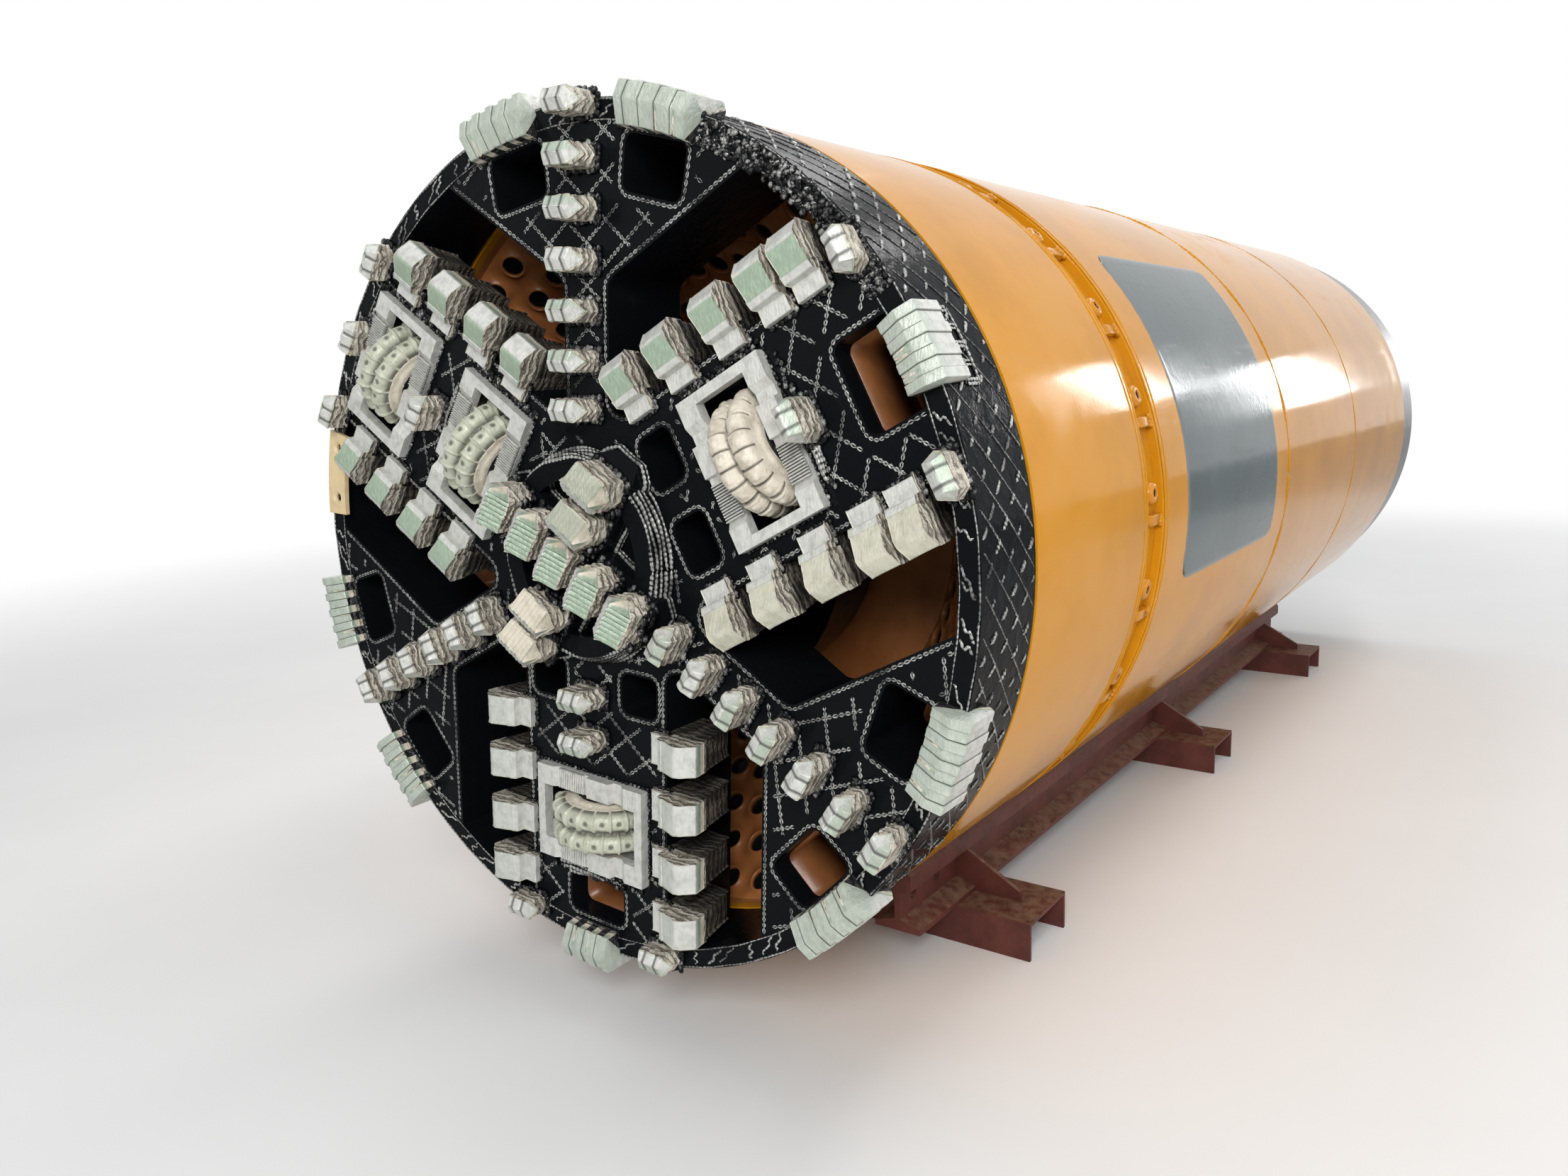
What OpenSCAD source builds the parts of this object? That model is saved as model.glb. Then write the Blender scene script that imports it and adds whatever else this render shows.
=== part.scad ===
// Tunnel boring machine for pipe jacking, standing on its rail cradle.
// Millimetres, +X forward to the cutterhead, +Y left, +Z up.
// Origin on the floor under the middle of the whole length.
// Lengths along the machine are counted from the front edge of the front shield.

/* [Shields] */
// Outer radius of the shields
shield_r = 820; // [780:5:860]
// Wall of the front shield
front_t = 40; // [30:1:48]
// Wall of the other shields
shell_t = 30; // [20:1:36]
// Length of the front shield
front_len = 549; // [520:1:620]
// Length of the open joint between front and middle shield
joint_len = 103; // [90:1:130]
// Length of the middle shield
mid_len = 1105; // [1000:5:1300]
// Length of the rear shield
rear_len = 993; // [900:5:1200]
// Length of the tail shield
tail_len = 1093; // [900:5:1300]
// Length of the bare tail ring
ring_len = 298; // [240:2:340]
// Step of the tail ring under the shields' surface
ring_step = 12; // [8:1:18]
// Wall of the tail ring
ring_t = 22; // [16:1:30]
// Chamfer on the shields' edges at the joint
edge_bevel = 5; // [2:0.5:8]

/* [Articulation] */
// Depth of the open joint under the shields' surface
joint_depth = 20; // [18:1:26]
// Wall of the inner ring
inner_t = 28; // [24:1:36]
// Reach of the inner ring under the front shield
inner_reach = 25; // [15:1:35]
// Reach of the inner ring into the middle shield
inner_root = 80; // [50:5:120]
// Gap between the inner ring and the front shield's skirt
skirt_gap = 9; // [8:0.5:12]
// Length of the front shield's skirt
skirt_len = 70; // [64:1:100]
// Largest steering angle
steer_angle = 2; // [0.5:0.1:2]
// Clearance of the bosses from the front shield at the largest steering angle
steer_gap = 5.4; // [5:0.1:8]
// Number of bosses, each with a lug beside it
boss_count = 25; // [12:1:30]
// Turn of the first boss
boss_turn = 4.5; // [0:0.5:14]
// Radius of a boss
boss_r = 18; // [14:0.5:19]
// Height of a boss
boss_h = 15; // [10:1:17]
// Radius of the hole in a boss
boss_hole = 6; // [4:0.5:8]
// Turn from a boss to its lug
lug_turn = -4; // [-8:0.5:-3]
// Width of a lug round the machine
lug_w = 20; // [14:1:30]
// Height of a lug
lug_h = 11; // [8:1:14]

/* [Cutterhead] */
// Turn of the cutterhead at rest
head_turn = -3.4; // [-10:0.2:10]
// Gap between cutterhead and front shield
head_gap = 10; // [8:1:20]
// Depth of the cutterhead from rear edge to face
head_depth = 198; // [180:1:240]
// Thickness of the face plate
face_t = 60; // [40:2:80]
// Wall of the arms behind the face plate
arm_t = 36; // [25:1:45]
// Radial wall of the rim
rim_t = 40; // [30:1:50]
// Half width of an arm that carries picks
pick_arm_w = 56; // [50:1:66]
// Half width of an arm that carries discs
disc_arm_w = 188; // [180:1:196]
// Distance from a disc arm's middle line to the far side of the opening
opening_w = 413; // [400:1:430]
// Corner radius of the large openings
opening_round = 30; // [15:1:40]
// Corner radius of the small openings
hole_round = 18; // [10:1:24]
// Radius of the raised ring on the hub
hub_r = 190; // [175:1:200]
// Width of the raised ring on the hub
hub_ring_w = 40; // [25:1:50]
// Height of the raised ring on the hub
hub_ring_h = 40; // [30:1:41]
// Half width of a beam that carries the centre rippers
beam_w = 54; // [52:1:58]
// Half length of a beam
beam_l = 228; // [222:1:230]
// Height of a beam
beam_h = 42; // [36:1:50]
// Length of the slope at a beam's end
beam_slope = 24; // [10:1:26]

/* [Bits] */
// Radial width of a pick
pick_w = 40; // [34:1:46]
// Length of a pick round the head
pick_l = 82; // [70:1:90]
// Height of a pick over the face
pick_h = 78; // [60:1:84]
// Distance between the picks of an arm
pick_pitch = 88.5; // [86:0.5:94]
// Least radius of an arm's innermost pick
pick_min_r = 250; // [244:1:258]
// Fall of a pick's roof from ridge to side
pick_fall = 10; // [6:1:16]
// Length of the point at each end of a pick
pick_point = 12; // [6:1:16]
// Radial width of a scraper
scraper_w = 60; // [50:1:64]
// Reach of a scraper past the edge of its arm
scraper_reach = 91; // [84:1:100]
// Height of a scraper's edge over the face
scraper_h = 50; // [40:1:60]
// Height of a scraper's foot on the face
scraper_foot_h = 17; // [12:1:22]
// Length of a scraper's foot on the face
scraper_foot_l = 24; // [18:1:26]
// Depth of a scraper behind the face
scraper_back = 106; // [80:1:120]
// Distance that the gauge scrapers stand out over the shields
gauge_out = 25; // [16:1:34]
// Axial length of the gauge scrapers
gauge_l = 105; // [84:1:120]
// Height of the gauge scrapers over the face
gauge_h = 47; // [38:1:55]
// Width of a tooth of a gauge scraper
gauge_tooth = 24; // [20:1:30]
// Step from one tooth of a gauge scraper to the next
gauge_step = 3; // [1:0.5:4]
// Width of a centre ripper along its row
ripper_w = 64; // [54:1:70]
// Length of a centre ripper across its row
ripper_l = 100; // [88:1:106]
// Height of a centre ripper over its beam
ripper_h = 80; // [60:1:96]
// Fall of a ripper's roof from ridge to side
ripper_fall = 17; // [10:1:24]
// Distance of a ripper's ridge from its middle
ripper_lean = 11; // [5:1:16]
// Step between the ribs of a ripper
ripper_step = 3; // [1:0.5:4]
// Thickness of the wear segment
wear_t = 10; // [6:1:14]
// Width of the wear segment along the arm
wear_w = 60; // [54:1:70]
// Radius of a screw hole in the wear segment
wear_hole_r = 9; // [6:1:11]

/* [Disc cutters] */
// Outer size of a disc frame round the head
frame_l = 283; // [279:1:300]
// Outer size of a disc frame along the arm
frame_w = 198; // [190:1:206]
// Inner size of a disc frame round the head
frame_in_l = 245; // [242:1:250]
// Inner size of a disc frame along the arm
frame_in_w = 114; // [110:1:120]
// Height of a disc frame over the face
frame_h = 22; // [16:1:28]
// Height of a step in a disc frame's long bars
frame_step_h = 12; // [8:1:15]
// Radius of a disc cutter over its buttons
disc_r = 115; // [112:1:116]
// Height of a button over its ring
button_h = 3; // [2:0.5:4]
// Radius of a button
button_r = 9; // [7:0.5:10]
// Number of buttons in a ring
button_count = 18; // [12:1:20]
// Distance between the two rings of a cutter
disc_pitch = 48; // [46:1:50]
// Radius of the round of a ring's edge
disc_round = 22; // [18:1:22]
// Height of the cutting edge over the face
disc_h = 77; // [60:1:85]
// Radius of the axle
axle_r = 28; // [22:1:34]

/* [Cradle] */
// Distance of a rail from the middle
rail_y = 365; // [340:5:400]
// Height of a rail
rail_h = 140; // [120:1:152]
// Width of a rail's head
rail_head_w = 70; // [60:1:75]
// Width of a rail's foot
rail_foot_w = 114; // [100:1:132]
// Thickness of a rail's web
rail_web_t = 14.5; // [12:0.5:17]
// Distance from the front edge of the shield to the rails
rail_front = 300; // [250:5:360]
// Length of a rail
rail_len = 3300; // [3200:10:3400]
// Radius of a rail's fishplate hole
rail_hole_r = 14; // [10:1:16]
// Distance between a rail's fishplate holes
rail_hole_pitch = 110; // [90:5:140]
// Distance from a rail's front end to its first hole
rail_hole_in = 60; // [40:5:80]
// Height of the holes over the sleepers
rail_hole_z = 68; // [60:1:80]
// Height of a sleeper
sleeper_h = 90; // [70:1:120]
// Width of a sleeper
sleeper_w = 200; // [160:2:240]
// Wall of a sleeper
sleeper_t = 8; // [6:0.5:12]
// Half of a sleeper's length
sleeper_half = 602; // [560:2:700]
// Thickness of a gusset
gusset_t = 12; // [8:1:16]
// Reach of a gusset on the sleeper
gusset_y = 535; // [500:5:555]

/* [Crushing chamber] */
// Distance from the shield's front edge to the cone
cone_front = 20; // [12:1:40]
// Length of the cone
cone_len = 340; // [300:5:380]
// Thickness of the cone
cone_t = 25; // [18:1:32]
// Distance of the cone's rear end from the shield's inside
cone_drop = 300; // [260:5:330]
// Radius of a hole in the cone
cone_hole_r = 20; // [14:1:24]
// Number of rows of holes
cone_rows = 3; // [2:1:4]
// Number of holes in a row
cone_holes = 20; // [12:1:24]
// Radius of the crusher at its widest
crusher_r = 360; // [330:5:380]
// Length of the crusher behind the shield's front edge
crusher_len = 300; // [280:5:320]
// Thickness of the bulkhead
bulkhead_t = 40; // [25:1:60]

/* [Main drive] */
// Radius of the drive's shaft in the bulkhead
shaft_r = 250; // [220:5:280]
// Radius of the drive's flange
drive_flange_r = 420; // [390:5:460]
// Length of the drive's flange
drive_flange_l = 300; // [250:10:340]
// Radius of the drive's motors and gears
drive_r = 380; // [340:5:400]
// Length of the drive's motors and gears
drive_l = 450; // [350:10:500]

/* [Tail equipment] */
// Radius of the slurry pipes
pipe_r = 84; // [60:1:90]
// Wall of the slurry pipes
pipe_t = 6; // [4:0.5:10]
// Radius of the slurry pipe flanges
flange_r = 142; // [135:1:150]
// Thickness of the flanges
flange_t = 22; // [16:1:30]
// Distance of a slurry pipe from the middle
pipe_y = 480; // [460:5:500]
// Depth of the slurry pipes under the axis
pipe_drop = 300; // [280:5:330]
// Distance of the flanges from the rear end
flange_inset = 60; // [30:5:100]
// Thickness of the rear partition
partition_t = 30; // [16:1:40]
// Depth of the walkway under the axis
walk_drop = 560; // [540:5:600]
// Thickness of the walkway
walk_t = 6; // [4:0.5:10]
// Length of the hydraulic tank
tank_l = 620; // [500:10:680]
// Width of the hydraulic tank
tank_w = 480; // [400:10:560]
// Height of the hydraulic tank
tank_h = 260; // [200:5:280]
// Radius of the pump motor
motor_r = 120; // [100:2:125]
// Length of the pump motor
motor_l = 380; // [300:5:400]
// Depth of the electric box
electric_l = 260; // [200:5:280]
// Width of the electric box
electric_w = 700; // [500:10:760]
// Height of the electric box
electric_h = 480; // [400:5:500]
// Radius of the flange bolt circle
flange_pitch_r = 120; // [116:1:124]
// Radius of a flange bolt hole
flange_hole_r = 11; // [8:1:12]
// Number of flange bolt holes
flange_holes = 8; // [4:1:12]

/* [Fits] */
// Gap of pieces that are seated on each other
seat = 0.3; // [0.1:0.05:0.5]
// Radial clearance of a disc cutter on its axle
run_fit = 0.05; // [0.02:0.01:0.1]

/* [Hidden] */
$fn = 96;

// Places along the machine, from the front edge of the front shield
joint_x = -front_len;
mid_x = joint_x - joint_len;
rear_x = mid_x - mid_len;
tail_x = rear_x - rear_len;
ring_x = tail_x - tail_len;
end_x = ring_x - ring_len;
head_rear = head_gap;
face_x = head_rear + head_depth;
beam_x = face_x + beam_h;
origin_x = -(end_x + beam_x + ripper_h) / 2;
boss_x = joint_x - shield_r * sin(steer_angle) - steer_gap - boss_r;

// Heights, from the machine's axis: the barrel rests on the inner corners of the rail heads
rail_top = -sqrt(pow(shield_r + seat, 2) - pow(rail_y - rail_head_w / 2, 2));
sleeper_top = rail_top - rail_h;
axis_h = sleeper_h - sleeper_top;

rim_in = shield_r - rim_t;
shell_in = shield_r - shell_t - seat;
front_in = shield_r - front_t - seat;
inner_r = shield_r - joint_depth;
gauge_r = shield_r + gauge_out;

// Arms: three with picks, and three with disc cutters half way between them
PICK_ARMS = [90, 330, 210];
DISC_ARMS = [30, 150, 270];
arm_step = 60;

// Picks on each pick arm: angle, distance of the outermost from the head's outside
PICK_ROWS = [[90, 11], [330, 30], [210, 71]];

// Scrapers on both edges of each disc arm: distances from the head's outside
SCRAPER_ROWS = [[136, 212, 320, 442, 556], [152, 269, 389, 505], [130, 244, 361, 475]];

// Picks along the middle of a disc arm: angle, distance from the head's outside
ARM_PICKS = [[30, 243], [150, 322], [270, 544], [270, 456]];

// Picks at the outer end of a disc arm: angle, distance from its middle line
EDGE_PICKS = [[30, 190], [30, -190], [150, -189], [150, -10], [150, 175], [270, 185], [270, -185]];
edge_pick_in = 49;
edge_pick_h = pick_h - 20;

// Gauge scrapers: angle, width round the rim
GAUGE = [[76, 170], [104, 170], [316, 170], [344, 170], [196, 170], [224, 170], [30, 130], [270, 125]];

// Centre rippers: angle of the row, place along it, side of the ridge
RIPPERS = [[150, -176, 1], [150, -88, 1], [150, 0, 1], [150, 88, 1], [150, 176, 1],
    [60, 90, -1], [60, 172, -1], [240, 118, 1], [240, 192, 1]];
BEAMS = [150, 60];

// Disc cutters: angle of the arm, distance from the head's outside
DISCS = [[30, 372], [150, 475], [150, 178], [270, 278]];

// Openings at the outer end of a disc arm: angle, outer and inner distance from the outside, half width
END_OPENINGS = [[30, 30, 154, 80], [270, 68, 150, 73]];

// Openings beside the hub: angle, place along the arm, distance from its middle, half sizes
HUB_OPENINGS = [[30, 256, 82, 40, 50], [270, 258, 120, 40, 44]];

// Corners of the small opening on each side of a pick arm: distance from the outside, from the arm's middle
WEDGE_CORNERS = [[159, 94], [63, 104], [92, 243], [188, 225]];

// Wear segment: middle angle, half angle, and its screw holes
WEAR = [173.2, 6.7];
WEAR_HOLES = [169, 177.2];

SLEEPERS = [for (d = [276, 1708, 3068]) -rail_front - d];

module on_axis() {
    translate([origin_x, 0, axis_h]) children();
}

module on_head() {
    on_axis() rotate([head_turn, 0, 0]) children();
}

// Outline in Y and Z, drawn out along X
module along_x(x0, x1) {
    translate([x0, 0, 0]) rotate([90, 0, 90]) linear_extrude(x1 - x0) children();
}

// Outline in X and Z, drawn out along Y to both sides
module across_y(w) {
    rotate([90, 0, 0]) linear_extrude(w, center = true) children();
}

module tube_x(x0, x1, r, t) {
    along_x(x0, x1) difference() {
        circle(r);
        circle(r - t);
    }
}

// Solid of revolution about the machine's axis; the outline holds x and radius
module turned(points) {
    rotate([0, 90, 0]) rotate_extrude() polygon([for (p = points) [p[1], p[0]]]);
}

// Part of such a solid, to both sides of the Y axis
module turned_part(points, half) {
    rotate([90 - half, 0, 0]) rotate([0, 90, 0])
        rotate_extrude(angle = 2 * half) polygon([for (p = points) [p[1], p[0]]]);
}

// Frame of an arm: Y outwards along it, Z round the head
module at_arm(angle, r = 0) {
    rotate([angle, 0, 0]) translate([0, r, 0]) children();
}

function unit(v) = v / norm(v);

function arc(c, r, a0, turn, n) = [for (i = [0:n]) c + r * [cos(a0 + turn * i / n), sin(a0 + turn * i / n)]];

// Round of radius r between the sides p0-p1 and p1-p2
function corner(p0, p1, p2, r) =
    let (u = unit(p0 - p1), v = unit(p2 - p1), half = acos(u * v) / 2)
    let (c = p1 + unit(u + v) * r / sin(half), q = p1 + u * r / tan(half) - c)
    arc(c, r, atan2(q[1], q[0]), (cross(u, v) > 0 ? -1 : 1) * (180 - 2 * half), 5);

function rounded(pts, r) =
    let (n = len(pts))
    [for (i = [0:n - 1]) each corner(pts[(i + n - 1) % n], pts[i], pts[(i + 1) % n], r)];

// Convex outline, counter-clockwise, grown by d on every side
function grown(pts, d) =
    let (n = len(pts))
    [for (i = [0:n - 1])
        let (u = unit(pts[i] - pts[(i + n - 1) % n]), v = unit(pts[(i + 1) % n] - pts[i]))
        let (a = [u[1], -u[0]], b = [v[1], -v[0]])
        pts[i] + (a + b) * d / (1 + a * b)];

function mirrored(pts) = [for (i = [len(pts) - 1:-1:0]) [pts[i][0], -pts[i][1]]];

// Place along a disc arm where the line at distance t meets the next pick arm's side
function slot_start(t) = (pick_arm_w + cos(arm_step) * t) / sin(arm_step);

OPENING = [[slot_start(disc_arm_w), disc_arm_w], [shield_r, disc_arm_w],
    [shield_r, opening_w], [slot_start(opening_w), opening_w]];

function box_outline(a0, a1, b0, b1) = [[a0, b0], [a1, b0], [a1, b1], [a0, b1]];

WEDGE = [for (c = WEDGE_CORNERS) [shield_r - c[0], c[1]]];

// All openings in the face, each as [angle, outline, corner radius]
OPENINGS = [
    for (a = DISC_ARMS) [a, OPENING, opening_round],
    for (a = DISC_ARMS) [a, mirrored(OPENING), opening_round],
    for (a = PICK_ARMS) [a, WEDGE, hole_round],
    for (a = PICK_ARMS) [a, mirrored(WEDGE), hole_round],
    for (e = END_OPENINGS) [e[0], box_outline(shield_r - e[2], shield_r - e[1], -e[3], e[3]), hole_round],
    for (h = HUB_OPENINGS, side = [-1, 1])
        [h[0], box_outline(h[1] - h[3], h[1] + h[3], side * h[2] - h[4], side * h[2] + h[4]), hole_round],
];

// Distance from the axis to the roots of the pick arms and of the disc arms
arm_root = slot_start(disc_arm_w) + 112;
disc_arm_root = arm_root - 80;

pocket_l = frame_in_l + 2 * seat;
pocket_w = frame_w - 4;

module opening_shape(o, grow = 0) {
    rotate(o[0]) polygon(rounded(grow > 0 ? grown(o[1], grow) : o[1], o[2] + grow));
}

module pocket_shape(d, grow = 0) {
    rotate(d[0]) translate([shield_r - d[1], 0]) square([pocket_w + 2 * grow, pocket_l + 2 * grow], center = true);
}

// Face plate on the walls of its openings and pockets, open to the chamber behind
module face_plate() {
    wall_x = face_x - face_t / 2;
    difference() {
        union() {
            along_x(face_x - face_t, face_x) circle(rim_in - seat);
            intersection() {
                along_x(head_rear, wall_x) circle(rim_in - seat);
                union() {
                    for (o = OPENINGS) along_x(head_rear - 1, wall_x + 1) opening_shape(o, arm_t);
                    for (d = DISCS) along_x(head_rear - 1, wall_x + 1) pocket_shape(d, arm_t / 2);
                    along_x(head_rear - 1, wall_x + 1) circle(hub_r);
                }
            }
        }
        for (o = OPENINGS) along_x(head_rear - 1, face_x + 1) opening_shape(o);
        for (d = DISCS) along_x(head_rear - 1, face_x + 1) pocket_shape(d);
    }
}

// Region of a pick arm, which parts from the disc arms inside the large openings
module pick_arm_region(a) {
    at_arm(a) along_x(0, face_x + 2) polygon([[arm_root, -pick_arm_w - 6], [400, -170], [650, -455],
        [shield_r, -455], [shield_r, 455], [650, 455], [400, 170], [arm_root, pick_arm_w + 6]]);
}

module disc_arm_region(a) {
    half = disc_arm_w + 12;
    at_arm(a) translate([0, disc_arm_root, -half]) cube([face_x + 2, shield_r, 2 * half]);
}

module pick_arm(a) {
    color("#15161a") on_head() intersection() {
        face_plate();
        pick_arm_region(a);
    }
}

module disc_arm(a) {
    color("#15161a") on_head() intersection() {
        face_plate();
        disc_arm_region(a);
    }
}

// Middle of the face, between the roots of the arms
module head_face() {
    color("#15161a") on_head() difference() {
        face_plate();
        for (a = PICK_ARMS) pick_arm_region(a);
        for (a = DISC_ARMS) disc_arm_region(a);
    }
}

module pick_arm_a() { pick_arm(PICK_ARMS[0]); }
module pick_arm_b() { pick_arm(PICK_ARMS[1]); }
module pick_arm_c() { pick_arm(PICK_ARMS[2]); }
module disc_arm_a() { disc_arm(DISC_ARMS[0]); }
module disc_arm_b() { disc_arm(DISC_ARMS[1]); }
module disc_arm_c() { disc_arm(DISC_ARMS[2]); }

module head_rim() {
    color("#15161a") on_head() tube_x(head_rear, face_x, shield_r, rim_t);
}

// Raised ring with two crossed beams
module head_hub() {
    color("#15161a") on_head() {
        tube_x(face_x, face_x + hub_ring_h, hub_r, hub_ring_w);
        for (b = BEAMS) at_arm(b) intersection() {
            along_x(face_x, beam_x) polygon([[-beam_l, -beam_w / 2], [beam_slope - beam_l, -beam_w],
                [beam_l - beam_slope, -beam_w], [beam_l, -beam_w / 2], [beam_l, beam_w / 2],
                [beam_l - beam_slope, beam_w], [beam_slope - beam_l, beam_w], [-beam_l, beam_w / 2]]);
            linear_extrude(2 * beam_w + 2, center = true)
                polygon([[face_x - 1, -beam_l - 1], [face_x + beam_h / 3, -beam_l - 1],
                    [beam_x + 1, beam_slope - beam_l], [beam_x + 1, beam_l - beam_slope],
                    [face_x + beam_h / 3, beam_l + 1], [face_x - 1, beam_l + 1]]);
        }
    }
}

// Cone that crushes against the chamber, turning with the head
module crusher() {
    color("#1d1d20") on_head() turned([[head_rear - seat, 0], [head_rear - seat, crusher_r - 60],
        [-crusher_len * 0.4, crusher_r], [-crusher_len, crusher_r - 30], [-crusher_len, 0]]);
}

// Prism along Z with a roof over the width w; its ridge is at height h and moved by lean
module roof(w, h, fall, lean, z0, z1) {
    translate([0, 0, z0]) linear_extrude(z1 - z0) polygon([[-1, -w], [h - fall, -w], [h - fall, -w / 2],
        [h, lean], [h - fall, w / 2], [h - fall, w], [-1, w]]);
}

// Block under such a roof with raised ribs across it, and with a point at each end.
// Its width along the arm is w, its length round the head l at the foot and top at the ridge
module bit(w, l, h, fall, point, lean, ribs, rib_step, top) {
    shoulder = h * 0.55;
    rib = l / ribs;
    intersection() {
        along_x(0, h) polygon([[-w / 2, point - l / 2], [0, -l / 2], [w / 2, point - l / 2],
            [w / 2, l / 2 - point], [0, l / 2], [-w / 2, l / 2 - point]]);
        across_y(w + 2) polygon([[-1, -l], [shoulder, -l], [shoulder, -l / 2], [h + 1, -top / 2],
            [h + 1, top / 2], [shoulder, l / 2], [shoulder, l], [-1, l]]);
        union() {
            roof(w, h - rib_step, fall, lean, -l, l);
            for (k = [0:2:ribs - 1]) roof(w, h, fall, lean, k * rib - l / 2, (k + 1) * rib - l / 2);
        }
    }
}

module pick(h = pick_h) {
    bit(pick_w, pick_l, h, pick_fall, pick_point, 0, 3, 2, pick_l * 0.6);
}

module pick_row(row) {
    outer = shield_r - row[1];
    color("silver") on_head() for (k = [0:floor((outer - pick_min_r) / pick_pitch)])
        at_arm(row[0], outer - k * pick_pitch) translate([face_x, 0, 0]) pick();
}

module picks_a() { pick_row(PICK_ROWS[0]); }
module picks_b() { pick_row(PICK_ROWS[1]); }
module picks_c() { pick_row(PICK_ROWS[2]); }

// Foot on the face, edge past the arm's side; outline in X and Z
module scraper() {
    side = disc_arm_w + seat;
    top = scraper_foot_h + 17;
    tip = side + scraper_reach;
    across_y(scraper_w) polygon([[0, side - scraper_foot_l], [scraper_foot_h, side - scraper_foot_l],
        [scraper_foot_h, side + 5], [top, side + 7], [top + 4, side + 17], [top + 2, side + 20],
        [scraper_h, tip - 34], [scraper_h - 4, tip - 22], [scraper_h - 26, tip],
        [-scraper_back, tip - 26], [-scraper_back, side], [0, side]]);
}

module scraper_rows(i) {
    color("silver") on_head() for (d = SCRAPER_ROWS[i], s = [0, 1])
        at_arm(DISC_ARMS[i], shield_r - d) translate([face_x, 0, 0]) mirror([0, 0, s]) scraper();
}

module scrapers_a() { scraper_rows(0); }
module scrapers_b() { scraper_rows(1); }
module scrapers_c() { scraper_rows(2); }

module arm_picks() {
    color("silver") on_head() for (p = ARM_PICKS)
        at_arm(p[0], shield_r - p[1]) translate([face_x, 0, 0]) pick();
}

module edge_picks() {
    color("silver") on_head() for (p = EDGE_PICKS)
        at_arm(p[0], shield_r - edge_pick_in) translate([face_x, 0, p[1]]) pick(edge_pick_h);
}

// Curved block on the rim's front edge with its back let down over the rim's outside
module gauge_block(half, step) {
    out = gauge_r - step;
    top = face_x + gauge_h - step;
    x0 = face_x + gauge_h - gauge_l;
    turned_part([[face_x, rim_in + 8 + step], [top - 14, rim_in + 12 + step], [top, shield_r - 6],
        [top - 12, out], [x0 + 14, out], [x0 + step, shield_r + 10], [x0 + step, shield_r + seat],
        [face_x, shield_r + seat]], half);
}

// Raised teeth on such a block
module gauge_scraper(g) {
    half = g[1] / gauge_r * 90 / PI;
    teeth = 2 * round(g[1] / gauge_tooth / 2) + 1;
    rotate([g[0], 0, 0]) {
        gauge_block(half * 0.995, gauge_step);
        for (k = [0:2:teeth - 1]) rotate([(2 * k + 1 - teeth) * half / teeth, 0, 0])
            gauge_block(half / teeth, 0);
    }
}

module gauge_scrapers() {
    color("silver") on_head() for (g = GAUGE) gauge_scraper(g);
}

module ripper(side) {
    bit(ripper_w, ripper_l, ripper_h, ripper_fall, 14, side * ripper_lean, 7, ripper_step, ripper_l * 0.84);
}

module centre_rippers() {
    color("silver") on_head() for (q = RIPPERS)
        at_arm(q[0], q[1]) translate([beam_x, 0, 0]) ripper(q[2]);
}

// Curved plate with two countersunk holes
module wear_segment() {
    color("#d9cdb4") on_head() difference() {
        rotate([WEAR[0], 0, 0]) turned_part([[face_x, shield_r - wear_w], [face_x + wear_t, shield_r - wear_w],
            [face_x + wear_t, shield_r], [face_x, shield_r]], WEAR[1]);
        for (a = WEAR_HOLES) at_arm(a, shield_r - wear_w / 2) translate([face_x - 1, 0, 0]) rotate([0, 90, 0]) {
            cylinder(h = wear_t + 2, r = wear_hole_r);
            translate([0, 0, wear_t - 4]) cylinder(h = 5.5, r1 = wear_hole_r, r2 = wear_hole_r + 6);
        }
    }
}

disc_x = face_x + disc_h - disc_r;
block_w = (pocket_w - frame_in_w) / 2;

// Frame on the face with stepped long bars, and two blocks in the pocket that hold the axle
module disc_frame(d) {
    bar_w = (frame_w - frame_in_w) / 2;
    end = frame_l / 2;
    color("silver") on_head() at_arm(d[0], shield_r - d[1]) {
        for (s = [-1, 1]) {
            translate([0, s * (frame_in_w + bar_w) / 2, 0]) across_y(bar_w)
                polygon([[face_x, -end], [face_x + frame_h, -end], [face_x + frame_h, -98],
                    [face_x + frame_step_h, -85], [face_x + frame_step_h, -15], [face_x + 16, -14],
                    [face_x + 16, -2], [face_x + frame_h + 4, 0], [face_x + frame_h + 4, 58],
                    [face_x + frame_step_h, 62], [face_x + frame_step_h, 80], [face_x + frame_h, 95],
                    [face_x + frame_h, end], [face_x, end]]);
            translate([face_x, -frame_in_w / 2, s > 0 ? frame_in_l / 2 : -end])
                cube([frame_h, frame_in_w, end - frame_in_l / 2]);
            translate([disc_x - 45, s > 0 ? frame_in_w / 2 : seat - frame_in_w / 2 - block_w, -70])
                cube([face_x - disc_x + 46, block_w - seat, 140]);
        }
        translate([disc_x, 0, 0]) rotate([90, 0, 0]) cylinder(h = frame_in_w + 2, r = axle_r, center = true);
    }
}

module disc_frame_a() { disc_frame(DISCS[0]); }
module disc_frame_b() { disc_frame(DISCS[1]); }
module disc_frame_c() { disc_frame(DISCS[2]); }
module disc_frame_d() { disc_frame(DISCS[3]); }

hub_half = frame_in_w / 2 - 6;

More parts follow.
